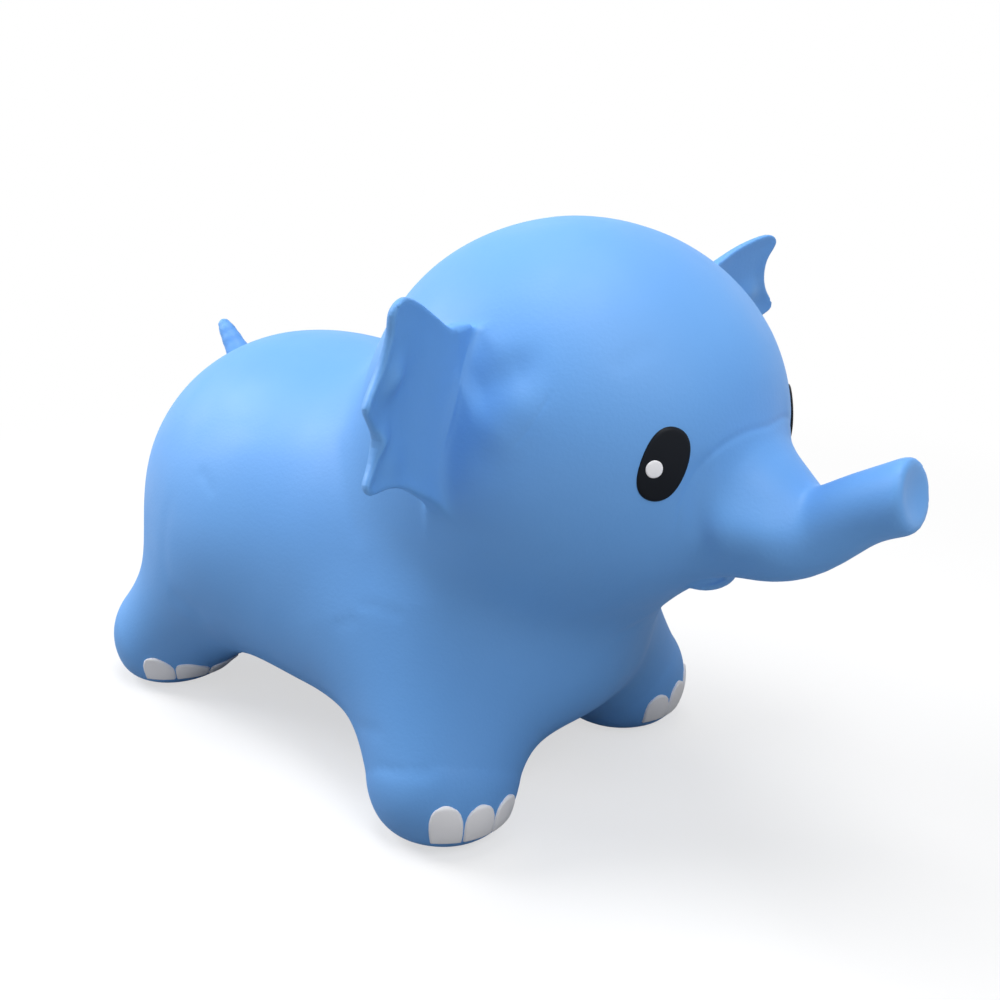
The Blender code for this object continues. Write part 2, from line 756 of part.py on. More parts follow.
def build_ears(looks, clearance):
    """Each lobe is solid vinyl; its root bends, and the rest swings with it."""
    blank = settled_copy("ear_form", ear_blank(), ear_form, 0, EAR_FACES_SHARE)
    place, outward, _ = ear_axes()
    seam = np.array([outward[0], outward[1], math.tan(EAR_ROOT_LEAN)])
    seam = seam / np.linalg.norm(seam)
    seam_foot = place + seam * EAR_FLEX
    for side_name, side in SIDES:
        flip = Matrix.Diagonal((1, side, 1, 1))
        form = helper(f"ear_form_{side_name}", blank.data.copy())
        form.data.transform(flip)
        if side < 0:
            form.data.flip_normals()
        foot = mirrored_place(seam_foot, side)
        axis = mirrored_place(seam, side)
        inner = rod_cutter(
            f"cut_ear_root_{side_name}", Vector(foot) - Vector(axis) * (SEAM_GAP / 2), (-axis[0], -axis[1], -axis[2]),
            EAR_REACH * 2, EAR_REACH,
        )
        outer = rod_cutter(
            f"cut_ear_{side_name}", Vector(foot) + Vector(axis) * (SEAM_GAP / 2), axis, EAR_REACH * 2, EAR_REACH * 2,
        )
        member(
            f"ear_root_{side_name}", form, [(inner, "INTERSECT"), (clearance, "DIFFERENCE")], looks["vinyl"],
        )
        lobe = member(f"ear_{side_name}", form, [(outer, "INTERSECT")], looks["vinyl"])
        pivot_at(lobe, Vector(foot) - Vector(axis) * (EAR_FLEX / 2))


def tail_seam():
    start = np.array([TAIL_ROOT_X, 0, TAIL_ROOT_Z])
    axis = np.array([-TAIL_RUN, 0, TAIL_RISE])
    axis = axis / np.linalg.norm(axis)
    reach = np.linspace(0, np.hypot(TAIL_RUN, TAIL_RISE), 200)
    along = start + reach[:, None] * axis
    surface = along[np.argmax(skin(along) > 0)]
    return surface + axis * TAIL_SEAM_LIFT, axis


def build_tail(looks, clearance):
    stations = [
        ((TAIL_ROOT_X - TAIL_RUN * run, 0, TAIL_ROOT_Z + TAIL_RISE * rise), TAIL_ROOT_RADIUS * radius)
        for run, rise, radius in zip(TAIL_RUN_SHARES, TAIL_RISE_SHARES, TAIL_RADIUS_SHARES)
    ]
    form = tube_blank("tail_form", stations)
    put_in(GUIDES, form)
    form.hide_render = True
    form.display_type = "WIRE"
    foot, axis = tail_seam()
    below = rod_cutter("cut_tail_root", foot - axis * (SEAM_GAP / 2), -axis, TAIL_RUN, TAIL_RUN * 2)
    above = rod_cutter("cut_tail", foot + axis * (SEAM_GAP / 2), axis, TAIL_RUN, TAIL_RUN * 2)
    member("tail_root", form, [(below, "INTERSECT"), (clearance, "DIFFERENCE")], looks["vinyl"])
    tail = member("tail", form, [(above, "INTERSECT")], looks["vinyl"])
    pivot_at(tail, foot - axis * (TAIL_SEAM_LIFT / 2))


def patch(name, places, thickness, seat, look):
    """A thin pad over the skin from a grid of places, settled at the seat gap and thickened outwards."""
    rows, columns = places.shape[:2]
    bpy.ops.mesh.primitive_grid_add(x_subdivisions=columns - 1, y_subdivisions=rows - 1, size=2)
    thing = bpy.context.object
    thing.name = name
    settled = settle(skin, places.reshape(-1, 3), seat)
    set_points(thing.data, settled)
    outward = slope_of(skin, settled).mean(0)
    if sum(polygon.normal.dot(Vector(outward)) for polygon in thing.data.polygons) < 0:
        thing.data.flip_normals()
    put_in(PARTS, thing)
    modifier = thing.modifiers.new("thickness", "SOLIDIFY")
    modifier.thickness = thickness
    modifier.offset = 1
    bake(thing)
    smooth_shading(thing.data)
    thing.data.materials.clear()
    thing.data.materials.append(look)
    return thing


def tangent_axes(outward):
    across = np.cross((0, 0, 1), outward)
    across = across / np.linalg.norm(across)
    return across, np.cross(outward, across)


def round_places(centre, across, upward, half_width, half_height, count):
    """A square grid pressed into an oval."""
    share = np.linspace(-1, 1, count)
    b, a = np.meshgrid(share, share, indexing="ij")
    x = a * np.sqrt(1 - b * b / 2)
    y = b * np.sqrt(1 - a * a / 2)
    return centre + x[..., None] * across * half_width + y[..., None] * upward * half_height


def build_eyes(looks):
    for side_name, side in SIDES:
        centre = settle(skin, [(EYE_X, EYE_Y * side, EYE_Z)], 0)[0]
        outward = slope_of(skin, centre[None])[0]
        outward = outward / np.linalg.norm(outward)
        across, upward = tangent_axes(outward)
        lean = -EYE_LEAN * side
        tilted_across = across * math.cos(lean) - upward * math.sin(lean)
        tilted_up = upward * math.cos(lean) + across * math.sin(lean)
        places = round_places(centre, tilted_across, tilted_up, EYE_HALF_WIDTH, EYE_HALF_HEIGHT, EYE_GRID)
        patch(f"eye_{side_name}", places, EYE_THICKNESS, SEAT_GAP, looks["eye_black"])
        spot = centre + across * HIGHLIGHT_BACK * side - upward * HIGHLIGHT_DROP
        places = round_places(spot, across, upward, HIGHLIGHT_RADIUS, HIGHLIGHT_RADIUS, HIGHLIGHT_GRID)
        seat = SEAT_GAP + EYE_THICKNESS + SEAM_GAP
        patch(f"eye_highlight_{side_name}", places, EYE_THICKNESS, seat, looks["nail_white"])


def nail_places(foot, turn, low, height, pitch):
    columns = np.linspace(-1, 1, NAIL_GRID)
    half_angle = (pitch * FOOT_RADIUS - NAIL_GROOVE) / (2 * FOOT_RADIUS)
    places = np.empty((len(NAIL_ROW_SHARES), len(columns), 3))
    for row, (rise, width) in enumerate(zip(NAIL_ROW_SHARES, NAIL_WIDTH_SHARES)):
        angles = turn + columns * half_angle * width
        places[row, :, 0] = foot[0] + FOOT_RADIUS * np.cos(angles)
        places[row, :, 1] = foot[1] + FOOT_RADIUS * np.sin(angles)
        places[row, :, 2] = low + height * (rise + NAIL_CROWN_SHARE * rise * (1 - columns ** 2))
    return places


def build_toenails(looks):
    kinds = {
        "front": (
            (LEFT_FRONT_NAIL_TURN, RIGHT_FRONT_NAIL_TURN), NAIL_FOOT_Z, NAIL_HEIGHT, NAIL_HEIGHT_SHARES, NAIL_PITCH,
        ),
        "hind": (
            (HIND_NAIL_TURN, HIND_NAIL_TURN), HIND_NAIL_FOOT_Z, HIND_NAIL_HEIGHT, HIND_NAIL_HEIGHT_SHARES,
            HIND_NAIL_PITCH,
        ),
    }
    for place, (_, foot, _) in leg_places().items():
        turns, low, height, height_shares, pitch = kinds[place]
        for (side_name, side), turn in zip(SIDES, turns):
            for index in range(NAILS_PER_FOOT):
                angle = side * (turn + pitch * (index - (NAILS_PER_FOOT - 1) / 2))
                tall = height * height_shares[index]
                places = nail_places(mirrored_place(foot, side), angle, low, tall, pitch)
                name = f"toenail_{place}_{side_name}_{index + 1}"
                nail = patch(name, places, NAIL_THICKNESS, NAIL_SEAT_GAP, looks["nail_white"])
                carried_by(nail, bpy.data.objects[f"foot_{place}_{side_name}"])


def build_lip(looks):
    """The lower lip is a pad whose inner half is pressed flat against the skin."""
    thing = ball_blank(
        "lower_lip", (LIP_X, 0, LIP_Z), (LIP_HALF_LENGTH, LIP_HALF_WIDTH, LIP_HALF_HEIGHT),
    )
    points = points_of(thing.data)
    sunk = skin(points) < LIP_SEAT_GAP
    points[sunk] = settle(skin, points[sunk], LIP_SEAT_GAP)
    set_points(thing.data, points)
    put_in(PARTS, thing)
    thinned(thing, LIP_FACES_SHARE)
    smooth_shading(thing.data)
    thing.data.materials.clear()
    thing.data.materials.append(looks["vinyl"])


def build_valve(looks):
    """A ring seat pressed into the rump, and the stopper that plugs it."""
    flange_x = RUMP_BACK_X - SEAM_GAP - VALVE_FLANGE_THICKNESS
    flange = rod_cutter("guide_valve_flange", (flange_x, 0, VALVE_Z), (1, 0, 0), VALVE_FLANGE_RADIUS, VALVE_FLANGE_THICKNESS)
    barrel = rod_cutter("guide_valve_barrel", (flange_x, 0, VALVE_Z), (1, 0, 0), VALVE_SEAT_RADIUS, VALVE_SEAT_DEPTH)
    bore = rod_cutter(
        "cut_valve_bore", (flange_x - OVERRUN, 0, VALVE_Z), (1, 0, 0), VALVE_BORE_RADIUS, VALVE_SEAT_DEPTH + OVERRUN * 2,
    )
    member("valve_seat", flange, [(barrel, "UNION"), (bore, "DIFFERENCE")], looks["valve_white"])
    shank_radius = VALVE_BORE_RADIUS - VALVE_CLEARANCE
    head_x = flange_x - SEAM_GAP - PLUG_HEAD_THICKNESS
    head = rod_cutter("guide_plug_head", (head_x, 0, VALVE_Z), (1, 0, 0), PLUG_HEAD_RADIUS, PLUG_HEAD_THICKNESS)
    bpy.ops.mesh.primitive_cone_add(
        vertices=ROUND_STEPS, radius1=shank_radius, radius2=PLUG_TIP_RADIUS, depth=VALVE_SEAT_DEPTH,
    )
    shank = bpy.context.object
    shank.name = "guide_plug_shank"
    middle = Vector((flange_x + VALVE_SEAT_DEPTH / 2 - PLUG_HEAD_THICKNESS / 2, 0, VALVE_Z))
    shank.data.transform(Matrix.Translation(middle) @ turned_to((1, 0, 0)))
    put_in(GUIDES, shank)
    shank.hide_render = True
    shank.display_type = "WIRE"
    plug = member("valve_plug", head, [(shank, "UNION")], looks["valve_white"])
    pivot_at(plug, (head_x, 0, VALVE_Z))


clear_scene()
PARTS = new_collection("ride_on_elephant")
GUIDES = new_collection("cutters_and_guides")
GUIDES.hide_render = True
LOOKS = {
    "vinyl": material("blue_vinyl", (0.18, 0.42, 0.80), 0.42),
    "eye_black": material("black_paint", (0.008, 0.008, 0.010), 0.25),
    "nail_white": material("off_white_paint", (0.72, 0.70, 0.69), 0.5),
    "valve_white": material("white_soft_vinyl", (0.85, 0.85, 0.83), 0.4),
}
SKIN_CLEARANCE = build_skin(LOOKS)
build_ears(LOOKS, SKIN_CLEARANCE)
build_tail(LOOKS, SKIN_CLEARANCE)
build_eyes(LOOKS)
build_toenails(LOOKS)
build_lip(LOOKS)
build_valve(LOOKS)
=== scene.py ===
import math

import bmesh
import bpy
import numpy as np
from mathutils import Matrix, Vector


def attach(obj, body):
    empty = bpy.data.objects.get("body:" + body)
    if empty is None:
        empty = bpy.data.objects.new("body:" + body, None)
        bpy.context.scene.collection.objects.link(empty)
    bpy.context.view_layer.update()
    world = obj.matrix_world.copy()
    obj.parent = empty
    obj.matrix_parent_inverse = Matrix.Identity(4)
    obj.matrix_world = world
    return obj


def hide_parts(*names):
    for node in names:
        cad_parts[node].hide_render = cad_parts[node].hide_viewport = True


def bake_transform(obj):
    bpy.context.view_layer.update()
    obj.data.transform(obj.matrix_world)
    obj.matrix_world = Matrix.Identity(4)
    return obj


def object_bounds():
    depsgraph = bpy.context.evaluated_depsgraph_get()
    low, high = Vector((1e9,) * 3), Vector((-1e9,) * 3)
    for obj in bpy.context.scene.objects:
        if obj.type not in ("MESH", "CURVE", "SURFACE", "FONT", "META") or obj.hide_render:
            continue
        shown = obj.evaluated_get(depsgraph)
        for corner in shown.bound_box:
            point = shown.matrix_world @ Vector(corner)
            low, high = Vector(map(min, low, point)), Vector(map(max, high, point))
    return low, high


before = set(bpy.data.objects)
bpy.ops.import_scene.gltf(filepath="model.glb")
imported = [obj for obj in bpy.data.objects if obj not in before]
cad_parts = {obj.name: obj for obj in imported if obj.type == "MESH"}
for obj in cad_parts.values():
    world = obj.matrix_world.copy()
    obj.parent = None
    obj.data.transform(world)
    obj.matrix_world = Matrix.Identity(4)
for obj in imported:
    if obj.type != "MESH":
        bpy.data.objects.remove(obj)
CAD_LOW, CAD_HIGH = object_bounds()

# An inflatable vinyl elephant that a small child bounces on.
# Metres. +X is forward, +Y is the elephant's left, +Z is up, and the soles stand on z = 0.
SIDES = (("left", 1), ("right", -1))

# Body: middle and half sizes of rump and chest
RUMP = ((-0.1605, 0, 0.149), (0.163, 0.139, 0.146))
CHEST = ((-0.0165, 0, 0.124), (0.163, 0.130, 0.152))
BACK_BLEND = 0.107
BELLY_HEIGHT = 0.038
BELLY_BLEND = 0.085

# Head: middle and half sizes of skull and face
HEAD = ((0.0955, 0, 0.276), (0.140, 0.134, 0.126))
FACE = ((0.1085, 0, 0.248), (0.102, 0.101, 0.091))
FACE_BLEND = 0.061
NECK_BLEND = 0.084

# Trunk: place forwards, height and radius along its middle line, and the dish in its tip
TRUNK = (
    (0.1665, 0.2400, 0.0540), (0.2199, 0.2385, 0.0440), (0.2481, 0.2305, 0.0330),
    (0.2700, 0.2328, 0.0240), (0.3001, 0.2536, 0.0198), (0.3280, 0.2680, 0.0208),
)
TRUNK_STEPS = 4
TRUNK_BLEND = 0.030
TRUNK_STEP_BLEND = 0.004
TRUNK_TIP_TILT = math.radians(12)
TRUNK_TIP_EDGE = 0.013
TRUNK_OVERRUN = 0.02
DISH_RADIUS = 0.034
DISH_DEPTH = 0.004
DISH_EDGE = 0.006

# Legs: hip, foot and hip radius on the left side
LEGS = {
    "front": ((0.0335, 0.0605, 0.113), (0.0725, 0.105, 0.0345), 0.067),
    "hind": ((-0.1570, 0.0785, 0.143), (-0.2545, 0.094, 0.0345), 0.047),
}
FOOT_RADIUS = 0.0515
SOLE_EDGE = 0.02
LEG_BLEND = 0.062

# Left ear: a cupped lobe with its root on the head
EAR_ROOT = np.array([0.0990, 0.130, 0.300])
EAR_SWEEP = math.radians(10.8)
EAR_REACH = 0.0875
EAR_HALF_HEIGHT = 0.077
EAR_ROOT_HALF_THICKNESS = 0.0068
EAR_RIM_HALF_THICKNESS = 0.0048
EAR_EDGE = 0.006
EAR_BLEND = 0.014
EAR_CUP = 0.007
EAR_CUP_HALF_HEIGHT = 0.05
EAR_CURL = 0.004
EAR_TIP_CURL = 0.009
EAR_LEAN_SLOPE = 0.10

# The blown ear thins away from its root, and its rim curls forward
EAR_THINNING = 0.0019
EAR_THIN_SHARE = 0.45
EAR_RIM_WIDTH = 0.012
EAR_RIM_CURL = 0.0018
EAR_RIM_START_SHARE = 1 / 3

# Pillows on the front of the ear: shares of its reach and half height, radius and rise
EAR_PILLOWS = (
    (0.68, 0.41, 0.0105, 0.0056),
    (0.715, -0.03, 0.0085, 0.0042),
    (0.55, -0.26, 0.0110, 0.0020),
)

# Outline of the ear as shares of its reach and half height, from the upper root round to the lower root
EAR_OUTLINE_SHARES = (
    (-0.226, 0.500), (0.091, 0.670), (0.246, 0.770), (0.430, 0.882), (0.590, 0.958),
    (0.740, 1.003), (0.835, 0.974), (0.870, 0.894), (0.830, 0.746), (0.850, 0.584),
    (0.905, 0.457), (0.990, 0.338), (1.012, 0.250), (0.890, 0.130), (0.770, -0.020),
    (0.810, -0.185), (0.905, -0.310), (0.860, -0.400), (0.740, -0.430), (0.590, -0.445),
    (0.400, -0.510), (0.170, -0.670), (-0.050, -0.840), (-0.300, -1.030),
)
EAR_OUTLINE_STEPS = 3
EAR_FREE_RIM = slice(3, -6)

# Box round the ear in which its shape is worked out, and the plain ball that stands in for it outside
EAR_BOX_HALF_DEPTH = 0.06
EAR_BOX_INWARD = 0.08
EAR_BOX_OUTWARD = 0.15
EAR_BOX_HALF_HEIGHT = 0.13
EAR_BALL_RADIUS = 0.125
EAR_BALL_LEAST = 0.03

# Tail: root, run and rise, and shares of run, rise and radius along it
TAIL_ROOT = np.array([-0.2505, 0, 0.246])
TAIL_RUN = 0.034
TAIL_RISE = 0.0425
TAIL_ROOT_RADIUS = 0.014
TAIL_SHARES = (
    (0, 0, 1.0), (0.24, 0.25, 0.84), (0.46, 0.48, 0.72),
    (0.66, 0.68, 0.61), (0.84, 0.86, 0.50), (0.96, 0.97, 0.38),
)
TAIL_BLEND = 0.009
TAIL_STEP_BLEND = TAIL_BLEND / 4

# Lower lip: middle and half sizes
LIP = ((0.2055, 0, 0.188), (0.0150, 0.0220, 0.0088))
LIP_BLEND = 0.005

# Creases, hollows and swellings of the left side, mirrored to the right: half width, depth (below zero for a
# swelling), and places that are then settled on the skin
MARKS = {
    "fold round the trunk's root": (0.0024, 0.0005, (
        (0.2378, 0, 0.2901), (0.2342, 0.0253, 0.2897), (0.2289, 0.0452, 0.2823), (0.2242, 0.0572, 0.2698),
        (0.2204, 0.0621, 0.2547), (0.2164, 0.0622, 0.2367), (0.2127, 0.0579, 0.2209),
    )),
    "hollow beside the trunk's root": (0.0075, 0.0016, (
        (0.2289, 0.0452, 0.2823), (0.2254, 0.0542, 0.2729), (0.2248, 0.0555, 0.2552),
        (0.2259, 0.0506, 0.2359), (0.2309, 0.0402, 0.2181),
    )),
    "full lower lobe of the trunk": (0.0150, -0.0074, ((0.2400, 0.0400, 0.2340), (0.2540, 0.0350, 0.2325))),
    "mouth": (0.0011, 0.0010, (
        (0.2235, 0, 0.1905), (0.2195, 0.0120, 0.1895), (0.2135, 0.0195, 0.1880), (0.2060, 0.0232, 0.1868),
    )),
    "crease before the ear": (0.0011, 0.0004, (
        (0.1097, 0.1174, 0.3458), (0.1103, 0.1224, 0.3356), (0.1104, 0.1276, 0.3230),
        (0.1088, 0.1335, 0.3020), (0.1053, 0.1383, 0.2795), (0.1029, 0.1411, 0.2589),
    )),
    "hollow from the ear to the brow": (0.0125, 0.0034, (
        (0.1120, 0.1290, 0.3110), (0.1210, 0.1257, 0.3160), (0.1327, 0.1203, 0.3225),
        (0.1433, 0.1138, 0.3290), (0.1600, 0.1030, 0.3370),
    )),
    "full cheek before the ear": (0.0150, -0.0030, ((0.1440, 0.1200, 0.3060), (0.1385, 0.1260, 0.2960))),
    "crease on the cheek": (0.0018, 0.00045, (
        (0.1616, 0.1081, 0.3217), (0.1601, 0.1130, 0.3126), (0.1561, 0.1184, 0.3015),
        (0.1493, 0.1237, 0.2897), (0.1416, 0.1275, 0.2808),
    )),
    "crease round the front ankle": (0.0050, 0.0005, (
        (0.0436, 0.1469, 0.0498), (0.0645, 0.1514, 0.0560), (0.0811, 0.1496, 0.0593),
        (0.0933, 0.1436, 0.0617), (0.1021, 0.1342, 0.0654),
    )),
    "crease above the front ankle": (0.0055, 0.0004, (
        (0.0151, 0.1344, 0.0653), (0.0413, 0.1440, 0.0734), (0.0610, 0.1446, 0.0784),
    )),
    "crease down the haunch": (0.0085, 0.00055, (
        (-0.1764, 0.1317, 0.2002), (-0.1822, 0.1390, 0.1749), (-0.1854, 0.1427, 0.1505),
        (-0.1852, 0.1441, 0.1259), (-0.1807, 0.1427, 0.1031),
    )),
    "crease from the back to the shoulder": (0.0080, 0.00065, (
        (-0.0404, 0.0886, 0.2580), (-0.0267, 0.1017, 0.2419), (-0.0083, 0.1131, 0.2199),
        (0.0083, 0.1193, 0.2006), (0.0204, 0.1220, 0.1888),
    )),
    "upper crease on the shoulder": (0.0052, 0.00042, (
        (0.0171, 0.1330, 0.1518), (0.0336, 0.1302, 0.1559), (0.0490, 0.1270, 0.1559),
        (0.0615, 0.1231, 0.1556),
    )),
    "lower crease on the shoulder": (0.0052, 0.00034, (
        (-0.0018, 0.1365, 0.1317), (0.0124, 0.1354, 0.1402), (0.0251, 0.1334, 0.1464),
    )),
    "crease on the flank": (0.0055, 0.00042, (
        (-0.1264, 0.1348, 0.1947), (-0.1413, 0.1309, 0.2060), (-0.1569, 0.1282, 0.2115),
    )),
    "hollow above the hind leg": (0.0100, 0.0010, (
        (-0.1884, 0.1435, 0.1079), (-0.1640, 0.1427, 0.1020), (-0.1400, 0.1354, 0.0880),
    )),
    "crease across the throat": (0.0052, 0.00045, (
        (0.1614, 0, 0.1424), (0.1569, 0.0179, 0.1380), (0.1520, 0.0311, 0.1352),
    )),
    "crease on the brow": (0.0060, 0.0004, (
        (0.1854, 0.0885, 0.3260), (0.1886, 0.0793, 0.3339), (0.1938, 0.0678, 0.3396),
        (0.2007, 0.0553, 0.3415),
    )),
}
MARK_STEPS = 5
MARK_END_SHARE = 0.3
MARK_REACH = 3

# Slight waviness of blown vinyl: height, radians to the metre along each axis, and start in radians
WAVES = (
    (0.00010, (67.0, 31.0, 43.0), 0.4), (0.00008, (-41.0, 79.0, 57.0), 1.9),
    (0.00005, (91.0, -83.0, 113.0), 3.1), (0.00003, (-133.0, -107.0, 59.0), 5.0),
)

# Mesh: grid step, coarse steps, how near the skin the fine grid is worked out, and where the mesh is refined
VOXEL = 0.0032
MARGIN_VOXELS = 4
COARSE = 4
NEAR_SHARE = 1.9
BATCH = 200000
EASING_ROUNDS = 2
FINE_WIDTH = 0.0026
FINE_NEAR = 0.0060
PROBE = 0.0004
LEAST_SLOPE = 0.1
TINY = 1e-12

# Seams where the skin divides, their directions out of the body, and how far along these lie the two points
# that flex_line gives for each moving piece. The ear's seam goes through the ear's root.
TRUNK_SEAM = np.array([0.2255, 0, 0.262])
TRUNK_AXIS = np.array([0.9588, 0, -0.2840])
TRUNK_FLEX_START = 0.0012
TRUNK_FLEX_END = 0.040
EAR_SEAM_AXIS = np.array([0.1814, 0.9510, 0.2504])
EAR_FLEX_START = 0.0048
EAR_FLEX_END = 0.014
EAR_ZONE = 0.02
TAIL_SEAM = np.array([-0.26348, 0, 0.26223])
TAIL_AXIS = np.array([-0.6247, 0, 0.7809])
TAIL_FLEX_START = 0.0015
TAIL_FLEX_END = 0.0070
TAIL_ZONE = 0.07
LEG_ZONE = 0.078
LEG_FLEX_START_INWARD = 0.0493
LEG_FLEX_START_HEIGHT = 0.03172
LEG_FLEX_END_INWARD = 0.030

# Solids that each piece of skin stands for; ears and legs add their place and side
REPLACED = {
    "body": ("torso_skin", "head_skin", "lower_lip"),
    "trunk": ("trunk_root", "trunk_tube"),
    "tail": ("tail_root", "tail"),
    "ear": ("ear_root_", "ear_"),
    "leg": ("leg_", "foot_"),
}

# Eyes and their highlights
EYE = (0.2142, 0.0738, 0.2780)
EYE_HALF_WIDTH = 0.0143
EYE_HALF_HEIGHT = 0.0224
EYE_LEAN = math.radians(20)
EYE_HEIGHT = 0.0013
EYE_FULLNESS = 0.18
EYE_EDGE_SHARE = 0.12
EYE_GRID = 41
HIGHLIGHT_RADIUS = 0.0051
HIGHLIGHT_BACK = 0.0064
HIGHLIGHT_DROP = 0.0016
HIGHLIGHT_HEIGHT = 0.0005
HIGHLIGHT_BASE = EYE_HEIGHT * 1.25
HIGHLIGHT_EDGE_SHARE = 0.3
HIGHLIGHT_GRID = 21
PAD_SINK = 0.0010
PAD_CROWN_SHARE = 0.5

# Toenails: turns on the left and right foot, pitch, lowest height, and heights from the inner nail outwards
NAILS = {
    "front": ((math.radians(7), math.radians(18)), math.radians(26.5), 0.0105, (0.0254, 0.0286, 0.0318)),
    "hind": ((math.radians(20), math.radians(20)), math.radians(32), 0.0085, (0.026, 0.026, 0.026)),
}
NAIL_GROOVE = 0.0007
NAIL_RISE = 0.0015
NAIL_EDGE_SHARE = 0.16
NAIL_GRID = 25

# Shares of a toenail's height and width from its lower edge upwards, and how much its top edge arches
NAIL_ROW_SHARES = (
    (0.0, 0.99), (0.22, 1.0), (0.44, 1.0), (0.64, 0.97), (0.82, 0.84), (0.93, 0.64), (0.98, 0.42),
)
NAIL_CROWN_SHARE = 0.06

# Looks: two colours, roughness from and to, scale and strength of the grain, and specular level
LOOKS = {
    "blue_vinyl_skin": ((0.150, 0.392, 0.83), (0.136, 0.368, 0.80), (0.46, 0.58), 420.0, 0.10, 0.35),
    "eye_black_paint": ((0.004, 0.006, 0.010), (0.007, 0.009, 0.014), (0.40, 0.52), 300.0, 0.06, 0.12),
    "nail_white_paint": ((0.91, 0.91, 0.95), (0.94, 0.94, 0.97), (0.44, 0.56), 350.0, 0.08, 0.35),
    "valve_soft_vinyl": ((0.74, 0.74, 0.72), (0.79, 0.79, 0.77), (0.32, 0.44), 500.0, 0.06, 0.5),
}
NOISE_LOW = 0.3
NOISE_HIGH = 0.7
TONE_SCALE = 9.0
TONE_DETAIL = 3.0
SHEEN_SCALE = 26.0
SHEEN_DETAIL = 4.0
GRAIN_DETAIL = 3.0
GRAIN_DEPTH = 0.0006

# Studio: plain level of the world, pale floor that fades into it, and lamps with place, diameter and power
WORLD_LEVEL = 0.22
FLOOR_TONES = ((0.35, 0.35, 0.35), (0.37, 0.37, 0.37))
FLOOR_ROUGHNESS = 0.9
FLOOR_SPECULAR = 0.1
FLOOR_TONE_SCALE = 0.8
FLOOR_TONE_DETAIL = 2.0
FLOOR_GLOW = 0.62
FLOOR_Z = -0.0005
FLOOR_RADIUS = 4.0
FLOOR_CORNERS = 64
FLOOR_FADE = (0.55, 1.15)
LAMPS = (
    ("key", (-1.70, -0.80, 1.50), 1.2, 33.0),
    ("top", (0.0, -0.1, 2.35), 1.3, 29.0),
    ("front", (1.40, -0.40, 1.60), 0.8, 12.0),
)
LAMP_TARGET = Vector((0, 0, 0.18))

# Camera: place, direction from what it sees back to it, roll, and framing
CAMERA_PLACE = (0.5493, -0.6186, 0.4727)
CAMERA_BACK = (0.65486, -0.69151, 0.30491)
CAMERA_ROLL = math.radians(0.4341)
CAMERA_SENSOR_MM = 36
CAMERA_LENS_MM = 42.22
CAMERA_SHIFT = (0.0703, -0.0233)
CAMERA_CLIP_START = 0.01


# Skin as signed distances

def smooth_min(a, b, blend):
    share = np.maximum(blend - np.abs(a - b), 0) / blend
    return np.minimum(a, b) - share ** 3 * blend / 6


def smooth_max(a, b, blend):
    return -smooth_min(-a, -b, blend)


def smooth_step(share):
    return share ** 2 * (3 - 2 * share)


def length_of(offset):
    return np.sqrt((offset * offset).sum(-1) + TINY)


def ellipsoid(points, centre, radii):
    offset = points - np.array(centre)
    radii = np.array(radii)
    reach = length_of(offset / radii)
    return reach * (reach - 1) / length_of(offset / radii ** 2)


def round_cone(points, start, end, start_radius, end_radius):
    start = np.array(start)
    along = np.array(end) - start
    share = np.clip(((points - start) @ along) / (along @ along), 0, 1)
    offset = points - start - share[..., None] * along
    return length_of(offset) - (start_radius + (end_radius - start_radius) * share)


def cone_chain(points, stations, blend):
    """Round cones on the middle plane, through stations of place forwards, height and radius."""
    form = None
    for (ax, az, ar), (bx, bz, br) in zip(stations, stations[1:]):
        piece = round_cone(points, (ax, 0, az), (bx, 0, bz), ar, br)
        form = piece if form is None else smooth_min(form, piece, blend)
    return form


def smooth_curve(stations, steps, closed=False):
    """Points of a smooth curve through the stations, with so many steps between each two."""
    stations = np.array(stations, float)
    if closed:
        padded = np.vstack([stations[-1], stations, stations[:2]])
    else:
        before = 2 * stations[0] - stations[1]
        after = 2 * stations[-1] - stations[-2]
        padded = np.vstack([before, stations, after])
    points = []
    for a, b, c, d in zip(padded, padded[1:], padded[2:], padded[3:]):
        for share in np.arange(steps) / steps:
            points.append(
                0.5 * (2 * b + (c - a) * share + (2 * a - 5 * b + 4 * c - d) * share ** 2
                       + (3 * b - a - 3 * c + d) * share ** 3)
            )
    if not closed:
        points.append(stations[-1])
    return np.array(points)


def trunk_form(points):
    stations = smooth_curve(TRUNK, TRUNK_STEPS)
    run = stations[-1] - stations[-2]
    past = stations[-1] + run * (TRUNK_OVERRUN / np.linalg.norm(run[:2]))
    form = cone_chain(points, [*stations, past], TRUNK_STEP_BLEND)
    tip = np.array([stations[-1][0], 0, stations[-1][1]])
    facing = np.array([math.cos(TRUNK_TIP_TILT), 0, math.sin(TRUNK_TIP_TILT)])
    form = smooth_max(form, (points - tip) @ facing, TRUNK_TIP_EDGE)
    dish = tip + facing * (DISH_RADIUS - DISH_DEPTH)
    return smooth_max(form, DISH_RADIUS - np.sqrt(((points - dish) ** 2).sum(-1)), DISH_EDGE)


def tail_form(points):
    stations = [
        (TAIL_ROOT[0] - TAIL_RUN * run, TAIL_ROOT[2] + TAIL_RISE * rise, TAIL_ROOT_RADIUS * share)
        for run, rise, share in TAIL_SHARES
    ]
    return cone_chain(points, stations, TAIL_STEP_BLEND)


EAR_OUTWARD = np.array([math.sin(EAR_SWEEP), math.cos(EAR_SWEEP), 0])
EAR_FORWARD = np.array([math.cos(EAR_SWEEP), -math.sin(EAR_SWEEP), 0])
EAR_UP = np.array([0, 0, 1])
EAR_LINE = smooth_curve(
    np.array(EAR_OUTLINE_SHARES) * np.array([EAR_REACH, EAR_HALF_HEIGHT]), EAR_OUTLINE_STEPS, closed=True,
)


